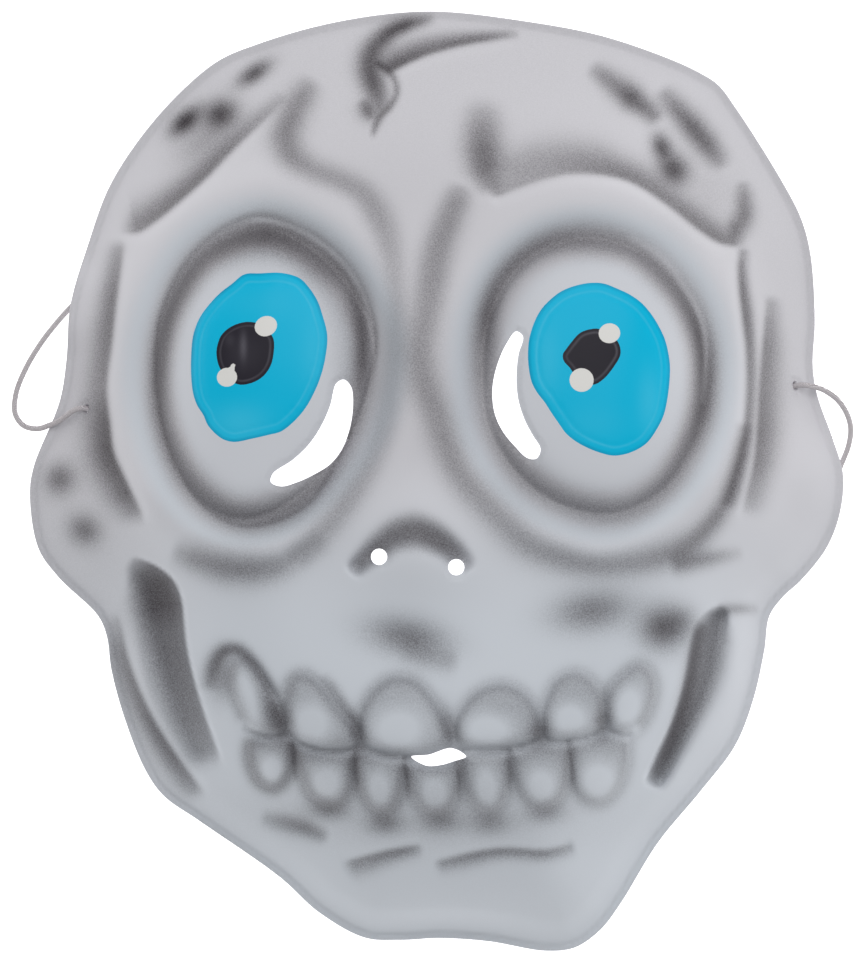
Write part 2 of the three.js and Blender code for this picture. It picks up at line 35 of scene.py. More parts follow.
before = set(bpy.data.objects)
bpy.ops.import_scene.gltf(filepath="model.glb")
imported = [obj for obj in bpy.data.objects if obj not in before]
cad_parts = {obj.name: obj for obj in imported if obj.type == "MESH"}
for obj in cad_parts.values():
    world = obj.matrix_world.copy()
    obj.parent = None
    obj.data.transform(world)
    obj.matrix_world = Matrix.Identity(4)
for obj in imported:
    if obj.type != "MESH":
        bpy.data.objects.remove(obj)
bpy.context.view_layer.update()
print("frame loaded:", ", ".join(sorted(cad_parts)))

millimetre = 0.001
fullTurn = 2 * math.pi
shellLow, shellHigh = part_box("mask_shell")
faceWidth = (shellHigh.x - shellLow.x) / millimetre
faceHeight = (shellHigh.y - shellLow.y) / millimetre
halfWidth = faceWidth / 2
halfHeight = faceHeight / 2

# Places on the face are [across, up] in hundredths of half its width and half its height.
# Reaches are in hundredths of half its width. Everything else about the sheet is in millimetres.
acrossUnit = halfWidth / 100
upUnit = halfHeight / 100


def placesOf(rows):
    return np.array(rows, float)[:, :2] * [acrossUnit, upUnit]


def linked(name, data):
    piece = bpy.data.objects.new(name, data)
    bpy.context.scene.collection.objects.link(piece)
    return piece


# camera
cameraView = {
    "distance": 8.0,
    "frameHeight": 0.2490,     # what the picture's long side covers at the rim
    "aimX": -0.0008,
    "aimY": 0.0003,
    "sensor": 36.0,
}
cameraData = bpy.data.cameras.new("pictureCamera")
cameraData.sensor_width = cameraView["sensor"]
cameraData.lens = cameraView["sensor"] * cameraView["distance"] / cameraView["frameHeight"]
cameraData.clip_start = 0.05
cameraData.clip_end = 40
camera = linked("pictureCamera", cameraData)
camera.location = (cameraView["aimX"], cameraView["aimY"], cameraView["distance"])
bpy.context.scene.camera = camera
print("camera set")


def smoothCurve(points, closed, steps):
    points = np.array(points, float)
    count = len(points)
    pieces = []
    for i in range(count if closed else count - 1):
        p1 = points[i]
        p2 = points[(i + 1) % count]
        p0 = points[i - 1] if closed or i > 0 else 2 * p1 - p2
        p3 = points[(i + 2) % count] if closed or i + 2 < count else 2 * p2 - p1
        gaps = [np.linalg.norm(b - a) for a, b in ((p0, p1), (p1, p2), (p2, p3))]
        d0, d1, d2 = (math.sqrt(max(gap, 1e-9)) for gap in gaps)
        m1 = ((p1 - p0) / d0 - (p2 - p0) / (d0 + d1) + (p2 - p1) / d1) * d1
        m2 = ((p2 - p1) / d1 - (p3 - p1) / (d1 + d2) + (p3 - p2) / d2) * d1
        t = np.linspace(0, 1, steps, endpoint=False)[:, None]
        curve = (2 * t**3 - 3 * t**2 + 1) * p1 + (t**3 - 2 * t**2 + t) * m1
        pieces.append(curve + (3 * t**2 - 2 * t**3) * p2 + (t**3 - t**2) * m2)
    if not closed:
        pieces.append(points[-1:])
    return np.concatenate(pieces)


def loopOf(rows, steps):
    return smoothCurve(placesOf(rows), True, steps)


# the elastic, with a knot behind each hole
elastic = {
    "diameter": 0.0014,
    "length": 0.333,
    "sides": 14,
    "knotWidth": 0.0044,
    "knotHeight": 0.0032,
    "strand": 0.0012,
    "lineSteps": 8,            # points between two places of the route
    "knotPoints": 90,
}
# The middle line in millimetres: out of the left hole, over the rim, round its loop, across the
# floor behind the face, round the right loop and into the right hole
elasticRoute = [
    [-89.75, 18.41, 7.04], [-90.94, 18.82, 8.18], [-92.4, 18.9, 9.1], [-94.4, 18.1, 8.4], [-96.1, 16.9, 6.2],
    [-97.9, 15.6, 3.9], [-100.2, 14.6, 2.3], [-103.6, 13.6, 1.1], [-107.2, 14.5, 0.9], [-109.3, 17.6, 0.9],
    [-109.1, 22.6, 0.9], [-106.7, 28.9, 0.9], [-102.6, 35.8, 0.9], [-97.9, 41.8, 0.9], [-94.2, 45.8, 0.9],
    [-87, 52.6, 0.9], [-72, 60.4, 0.9], [-50, 66, 0.9], [-24, 68, 0.9], [4, 66.4, 0.9], [32, 60.4, 0.9],
    [56, 49.4, 0.9], [74, 34.6, 0.9], [84, 18.6, 0.9], [88.6, 5.4, 0.9], [93.4, -2.6, 0.9], [99, -3.6, 0.9],
    [102.9, 0.3, 0.9], [105.3, 5.2, 0.9], [106.9, 9.5, 0.9], [107.4, 13.6, 0.9], [106.4, 17.5, 0.95],
    [104, 21.1, 1.1], [101.2, 23.2, 1.9], [99.5, 24, 3.3], [97.7, 24.5, 5], [96, 24.8, 6.35],
    [94.5, 24.9, 6.4], [93.05, 24.72, 5.56], [91.74, 24.5, 4.67],
]


def roundLine(name, points, radius, closed=False):
    points = np.array([tuple(point) for point in points])
    ahead = np.roll(points, -1, axis=0) - np.roll(points, 1, axis=0)
    if not closed:
        ahead[0], ahead[-1] = points[1] - points[0], points[-1] - points[-2]
    ahead /= np.linalg.norm(ahead, axis=1)[:, None]
    sides = elastic["sides"]
    angles = np.linspace(0, fullTurn, sides, endpoint=False)
    across = np.cross(ahead[0], [0.3, 0.2, 1])
    rings = []
    for point, way in zip(points, ahead):
        across = across - way * (across @ way)
        across /= np.linalg.norm(across)
        other = np.cross(way, across)
        around = np.cos(angles)[:, None] * across + np.sin(angles)[:, None] * other
        rings.append(point + radius * around)
    count = len(points)
    faces = []
    for i in range(count if closed else count - 1):
        j = (i + 1) % count
        # a closed line's last ring may be turned against its first one
        turn = 0
        if j == 0:
            turn = int(np.argmin(np.linalg.norm(rings[0] - rings[-1][0], axis=1)))
        for k in range(sides):
            m = (k + 1) % sides
            here, there = i * sides, j * sides
            faces.append((here + k, here + m, there + (m + turn) % sides, there + (k + turn) % sides))
    if not closed:
        faces.append(tuple(range(sides - 1, -1, -1)))
        faces.append(tuple(range((count - 1) * sides, count * sides)))
    mesh = bpy.data.meshes.new(name)
    mesh.from_pydata([tuple(p) for p in np.concatenate(rings)], [], faces)
    mesh.validate()
    for polygon in mesh.polygons:
        polygon.use_smooth = len(polygon.vertices) == 4
    return linked(name, mesh)


def turnedKnot(name, node, facing):
    low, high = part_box(node)
    middle = (low + high) / 2
    inPlane = (elastic["knotWidth"] - elastic["strand"]) / 2 / 3
    outOfPlane = (elastic["knotHeight"] - elastic["strand"]) / 2
    turn = Vector((0, 0, 1)).rotation_difference(facing)
    points = []
    for t in np.linspace(0, fullTurn, elastic["knotPoints"], endpoint=False):
        loop = Vector((
            inPlane * (math.sin(t) + 2 * math.sin(2 * t)),
            inPlane * (math.cos(t) - 2 * math.cos(2 * t)),
            -outOfPlane * math.sin(3 * t),
        ))
        points.append(middle + turn @ loop)
    return roundLine(name, points, elastic["strand"] / 2, closed=True)


elasticLine = smoothCurve(elasticRoute, False, elastic["lineSteps"]) * millimetre
headCord = roundLine("head_cord", elasticLine, elastic["diameter"] / 2)
leftFacing = Vector(elasticLine[4] - elasticLine[0]).normalized()
rightFacing = Vector(elasticLine[-5] - elasticLine[-1]).normalized()
leftKnot = turnedKnot("knot_at_left", "knot_left", leftFacing)
rightKnot = turnedKnot("knot_at_right", "knot_right", rightFacing)
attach(headCord, "root")
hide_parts("elastic")
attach(leftKnot, "root")
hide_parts("knot_left")
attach(rightKnot, "root")
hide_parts("knot_right")
print("elastic laid:", len(elasticLine), "points")

# the face sheet's shape
sheet = {
    "depth": 50.0,             # floor to the plain surface in the middle
    "sideFall": 0.4,           # how much of it the plain surface loses toward each side
    "sidePower": 2.3,
    "endFall": 0.3,            # and toward crown and chin
    "endPower": 2.6,
    "wall": 1.6,
    "thinnest": 1.0,
    "rimFlange": 1.7,
    "rimBend": 44.0,
    "rimSink": 0.3,
    "crownLift": 7.0,
    "chinLift": 5.0,
    "underpassLift": 2.9,
    "climbEase": 0.9,
    "calmFrom": 5.0,           # the evened climb takes over between these insets
    "calmTo": 16.0,
    "climbRounds": 14,
    "reliefFade": 7.0,
    "edgeRound": 0.5,
    "eyeballRise": 7.5,
    "eyeballPower": 0.6,
    "orbitRise": 3.0,
    "orbitWidth": 11.0,
    "orbitSpread": 0.6,        # of orbitWidth
    "socketDepth": 3.0,
    "socketWidth": 5.0,
    "creaseDepth": 2.2,
    "creaseEnd": 1.25,         # a crease runs out over this many of its reaches
    "fineEdge": 2.0,           # width of a hard edge on the front
    "calmEdge": 3.0,           # and on the surface that the back follows
    "slotDepth": 6.0,
    "lineRise": 0.25,
    "toothRise": 2.7,
    "toothRound": 5.5,
    "paintRise": 0.16,         # the painted irises stand proud by this
    "paintDip": 0.9,           # share of it that is lost again just inside their brim
    "dipPlace": 2.1,
    "dipHalf": 0.6,
    "nostril": 4.2,
    "cordHole": 2.6,
    "frontStep": 0.74,         # distance between the front's points
    "frontClear": 0.85,        # and how far these keep off every edge
    "backStep": 1.6,
    "backClear": 1.3,
    "gridStep": 1.5,
    "gridBeyond": 4.5,
    "floorGap": 0.02,
}

outlinePlaces = [
    [1, 100], [20.6, 98.1], [40.3, 94.9], [57.6, 89.8], [65, 86.8], [69.2, 84.4], [73.5, 79.5], [84.7, 64.2],
    [89.6, 56], [91.9, 48.5], [93, 34.3], [92.5, 24.5], [93.6, 18.3], [97.5, 8.7], [99.9, 1.3], [99, -7.2],
    [95.8, -14.3], [89.6, -21.1], [85.2, -24.6], [81.8, -28.8], [80.6, -36], [77.8, -46.7], [73.4, -56.3],
    [65, -65.9], [54.4, -77], [45.3, -89.8], [40.3, -95.5], [34, -99.3], [26.8, -100], [13, -98],
    [0.9, -97.3], [-9, -97.7], [-17.6, -97.2], [-28.7, -91.9], [-38.6, -84.2], [-58.3, -72.3], [-67, -67],
    [-71.5, -61.5], [-76.8, -50], [-79.9, -40], [-81, -33], [-83.2, -28.6], [-92.8, -20.5], [-97.8, -14.3],
    [-99.9, -3], [-99, 3], [-92.6, 17], [-90.9, 26], [-89.9, 37.5], [-85.5, 50.7], [-80.5, 62.5],
    [-73.1, 72.7], [-63.3, 82.5], [-53.4, 89.6], [-43.5, 93.2], [-28.7, 97], [-12, 99.5],
]

throughSlots = {
    "leftEyeSlit": [
        [-24.5, 20.7], [-22.6, 21.5], [-20.9, 20], [-20.4, 17], [-21, 12], [-23, 7], [-26, 3.6], [-30, 1.4],
        [-34, -0.2], [-38, -1.1], [-40.5, -0.2], [-40, 1.6], [-35, 4.6], [-31, 8], [-28, 12], [-26, 16]],
    "rightEyeSlit": [
        [19.4, 31.7], [17, 29], [15.2, 25.6], [13.9, 21.5], [13.6, 18], [14.3, 14], [16.2, 10.5], [19, 7.5],
        [22.2, 4.9], [24.4, 4.8], [25.4, 6.8], [23.5, 9.7], [21.4, 13.2], [19.9, 17.5], [19.5, 22],
        [20, 26.8], [21.1, 30.6]],
    "toothSlit": [
        [-6.2, -58.3], [-2, -57.9], [3.3, -56.5], [6, -57.3], [7.2, -58.3], [4.5, -59.2], [1, -60.1],
        [-2.6, -60.2]],
}
nostrils = [[-14.05, -16], [4.8, -18.2]]
cordHoles = [[-86.2, 15.4], [88.2, 20.3]]
underpasses = [{"place": [-90, 37.5], "half": 10}, {"place": [98.6, 0.5], "half": 12}]

# A spot is an ellipse: its middle's across and up, its half spans and its turn in degrees.
# Soft swellings: spot and rise in millimetres
swellings = [
    {"name": "noseBridge", "spot": [-5, 22, 10, 30, 0], "rise": 4.05},
    {"name": "noseTip", "spot": [-5, -14, 17, 12, 0], "rise": 6.75},
    {"name": "mouth", "spot": [1, -52, 50, 24, 0], "rise": 6.5},
    {"name": "chin", "spot": [7, -88, 32, 9, 0], "rise": 4.0},
    {"name": "leftCheekbone", "spot": [-62, -12, 24, 12, 0], "rise": 2.8},
    {"name": "rightCheekbone", "spot": [62, -18, 24, 12, 0], "rise": 2.8},
    {"name": "leftJawBranch", "spot": [-73, -38, 4.5, 14, 0], "rise": 2.8},
    {"name": "rightJawBranch", "spot": [75, -42, 4.5, 15, 0], "rise": 2.0},
]

# Each eye: the socket's middle and groove, the painted iris and pupil, the highlights' spots and the
# paler patches
eyes = [
    {
        "name": "left", "middle": [-42, 22.5],
        "groove": [
            [-42.3, 53.1], [-30, 48.5], [-20.5, 39.5], [-16, 30], [-16.6, 20], [-20.5, 11], [-26, 4],
            [-33, -2.2], [-42, -7], [-50, -7.6], [-58.5, -3.4], [-64.8, 6.5], [-68.5, 18], [-68.2, 28],
            [-64.2, 39.5], [-55.5, 49]],
        "iris": [
            [-50, 41.8], [-47, 43.8], [-43, 44], [-38, 44.1], [-33.5, 43], [-31, 40.8], [-29, 38],
            [-28, 35.5], [-26.7, 31], [-27, 27], [-28, 23], [-29.5, 19.5], [-32, 15.5], [-35, 12.5],
            [-38, 10.5], [-41, 9.8], [-45, 9], [-49.5, 8.3], [-52, 8.8], [-54, 10], [-56, 12], [-57, 14],
            [-58.5, 16], [-59.5, 18.5], [-60, 22], [-60, 27], [-59.5, 31], [-58, 34.5], [-56, 37],
            [-53, 39.8]],
        "pupil": [
            [-46.5, 33.7], [-43, 33.2], [-40.8, 31.5], [-39.8, 30], [-39.8, 27], [-40.5, 24.5], [-42, 22.5],
            [-44.5, 21], [-48, 20.4], [-50.5, 21.4], [-53, 24], [-53.8, 27], [-53.5, 29], [-52.5, 31],
            [-50, 32.8]],
        "highlights": [
            [-41.7, 32.8, 2.8, 2.1, 25], [-51.2, 22, 2.5, 2.0, 8], [-49.8, 24.3, 0.8, 0.5, 50]],
        "patches": [
            {"spot": [-48, 12.5, 7, 4, 0], "light": 0.6},
            {"spot": [-44, 38, 10, 4, 0], "light": 0.25},
            {"spot": [-30, 27, 3, 9, 0], "light": 0.3},
            {"spot": [-47.2, 28.6, 0.8, 2.8, 0], "light": 0.65},
            {"spot": [-50.6, 30, 1.2, 1.4, 0], "light": 0.2},
            {"spot": [-47.4, 27, 5, 5, 0], "light": 0.2},
        ],
    },
    {
        "name": "right", "middle": [39.5, 22],
        "groove": [
            [38, 51], [50, 48], [58, 42], [63, 34.5], [65.5, 25], [65, 15], [61.5, 6], [54.5, -2],
            [43, -6.6], [30, -4.6], [20, 1.8], [13.4, 11], [11.6, 22], [13, 34], [19, 43.8], [28, 49.4]],
        "iris": [
            [38, 42], [41, 41.8], [44, 40.8], [47, 39.6], [50, 37.8], [52.5, 35.3], [54.5, 32.5], [56, 29.5],
            [57, 25], [57, 22], [56.5, 18], [55.5, 14], [53.8, 11], [51.5, 8.2], [49, 6.7], [46, 5.7],
            [43, 5.4], [40, 6], [37, 7], [34, 8.4], [31.5, 10.2], [30, 12], [28, 14.5], [26.3, 16.8],
            [24.5, 18.8], [23.2, 21], [22.5, 24], [22.3, 27], [22.6, 30], [23.8, 33.5], [25.5, 36.3],
            [28, 38.6], [30.5, 40.2], [34, 41.4]],
        "pupil": [
            [36, 31.8], [39.8, 32.2], [42, 30.5], [44, 29.8], [44.9, 28], [44.8, 26.5], [43.5, 24.5],
            [41, 21.8], [38.3, 20.4], [35.6, 21.4], [33.5, 22.8], [32.5, 24], [31, 25.5], [30.8, 26.8],
            [31.5, 27.8], [33, 29.5], [34.5, 31]],
        "highlights": [
            [42.2, 31.3, 2.65, 2.1, 10], [35.4, 21.4, 2.95, 2.5, 0]],
        "patches": [
            {"spot": [52, 17, 3, 7, 0], "light": 0.6},
            {"spot": [27, 25, 3, 8, 0], "light": 0.4},
            {"spot": [38, 12, 9, 4, 0], "light": 0.25},
        ],
    },
]

# Teeth: how dark the grey round it is, the spot that the spray leaves clear, and the outline
teeth = [
    {"name": "upper1", "dark": 0.3, "pale": [-46.6, -46.3, 3.4, 8, 14], "edge": [
        [-47, -37.8], [-44, -40.1], [-41, -44.3], [-38.3, -48.2], [-37, -51.1], [-37.9, -53.6],
        [-40.2, -53.9], [-43.2, -53.3], [-46.2, -51.6], [-48.5, -47.6], [-50.2, -43.6], [-50.3, -40.5],
        [-48.9, -38.4]]},
    {"name": "upper2", "dark": 0.3, "pale": [-30.6, -51.4, 5.4, 5, 20], "edge": [
        [-33, -40.9], [-30.4, -41.7], [-27.4, -44.3], [-25.1, -47.6], [-22.1, -50.5], [-19.7, -53.4],
        [-19.2, -55.5], [-21.3, -56.6], [-25.1, -56.8], [-28.9, -56.4], [-32.3, -55.5], [-34.9, -54.1],
        [-36.3, -52.1], [-36.9, -48.9], [-36.7, -45.6], [-36, -42.7], [-34.8, -41.4]]},
    {"name": "upper3", "dark": 0.24, "pale": [-9.3, -52.6, 7.6, 5.4, 8], "edge": [
        [-9.3, -41.4], [-5.5, -42.1], [-2.5, -44.3], [0.2, -47.6], [2.1, -50.5], [3.7, -53.4], [3.4, -55.8],
        [1.3, -57], [-2.1, -57.9], [-6.2, -58.2], [-10.8, -57.9], [-14.5, -57], [-17.2, -55.5],
        [-18.5, -53.4], [-18.7, -50.2], [-17.6, -46.9], [-15.3, -44], [-12.3, -42]]},
    {"name": "upper4", "dark": 0.2, "pale": [12.6, -52.7, 7, 4, -6], "edge": [
        [15.3, -42.9], [18.7, -43.4], [21.7, -45.1], [24, -47.9], [25.1, -51.1], [25.3, -54], [23.2, -55.5],
        [19.4, -56.4], [15.6, -56.9], [11.9, -57.1], [8.1, -56.9], [5.7, -55.7], [4.7, -53.4], [4.9, -50.8],
        [6.2, -48.2], [8.5, -45.6], [11.9, -43.6]]},
    {"name": "upper5", "dark": 0.19, "pale": [32.6, -50.4, 5, 4, 0], "edge": [
        [33, -40.5], [36.4, -41.1], [39, -43], [40.7, -45.6], [41.2, -48.9], [40.6, -52.1], [39, -53.6],
        [35.3, -54.5], [31.5, -54.9], [28.5, -55.1], [26.4, -54.1], [25.9, -51.5], [26.3, -48.2],
        [27.4, -44.9], [29.4, -42.1]]},
    {"name": "upper6", "dark": 0.24, "pale": [46.8, -47.8, 3.9, 5.2, -12], "edge": [
        [42.1, -44.3], [43.6, -42.5], [46.2, -40.4], [48.9, -38.8], [51.5, -39.4], [53.4, -42],
        [53.5, -45.3], [52.6, -48.2], [51.1, -50.8], [48.9, -52.8], [45.8, -53.5], [43.2, -52.8],
        [41.7, -50.8], [41.3, -47.6]]},
    {"name": "lower1", "dark": 0.44, "pale": [-40.4, -61.1, 3.3, 3.6, 0], "edge": [
        [-45.5, -55.1], [-40.6, -54.2], [-35.7, -54.4], [-35.1, -58], [-35.7, -61.4], [-37.6, -64.2],
        [-40.2, -65.3], [-43.4, -64], [-45.3, -61.4], [-46.2, -58.1]]},
    {"name": "lower2", "dark": 0.34, "pale": [-27, -63.8, 4.2, 4.2, 0], "edge": [
        [-34.3, -56], [-29.6, -57.1], [-25.1, -57.4], [-20.8, -57.2], [-20.4, -60.6], [-20.7, -64.5],
        [-22.1, -67.5], [-24.7, -68.8], [-28.1, -68.4], [-31.1, -66.5], [-33, -63.2], [-34.2, -59.4]]},
    {"name": "lower3", "dark": 0.32, "pale": [-14.2, -65.2, 3.3, 4.4, 0], "edge": [
        [-20.2, -57.5], [-16, -57.9], [-11.9, -58.2], [-8.4, -58.4], [-7.9, -61.9], [-8.4, -65.8],
        [-10, -68.8], [-12.3, -70.1], [-15.3, -69.7], [-17.9, -67.1], [-19.4, -63.2], [-20.2, -60.3]]},
    {"name": "lower4", "dark": 0.22, "pale": [-0.6, -66, 3.6, 4.2, 0], "edge": [
        [-7.9, -58.8], [-5.5, -60.1], [-1, -61], [3.6, -60.1], [5.5, -58.8], [5.8, -62.6], [5.5, -65.8],
        [4, -68.8], [1.7, -70.4], [-1.3, -70.4], [-4.4, -68.8], [-6.2, -65.8], [-7.3, -62]]},
    {"name": "lower5", "dark": 0.2, "pale": [12.3, -64.9, 3.1, 5, 8], "edge": [
        [6, -57.3], [10, -57.2], [14.1, -57.1], [17.4, -57], [18.1, -60.6], [17.8, -64.5], [16.4, -68.1],
        [13.8, -70.1], [10.7, -69.7], [8.1, -67.8], [6.6, -64.5], [5.8, -60.9]]},
    {"name": "lower6", "dark": 0.22, "pale": [25.5, -64.5, 4.2, 4.4, 0], "edge": [
        [18.1, -56.7], [21.7, -56.2], [27, -55.5], [32, -55.2], [32.7, -59.3], [32.3, -63.9], [30.4, -67.5],
        [27, -69.2], [23.6, -68.8], [20.6, -66.5], [18.8, -63.2], [18.1, -60]]},
    {"name": "lower7", "dark": 0.21, "pale": [39.8, -63.6, 5.4, 5, 30], "edge": [
        [32.6, -54.9], [36.8, -54.1], [41.3, -53.6], [46.2, -53.8], [47.1, -57.4], [46.6, -61.3],
        [44.7, -65.2], [41.3, -68.1], [37.9, -68.4], [34.9, -66.9], [33.2, -63.9], [32.5, -59.3]]},
]

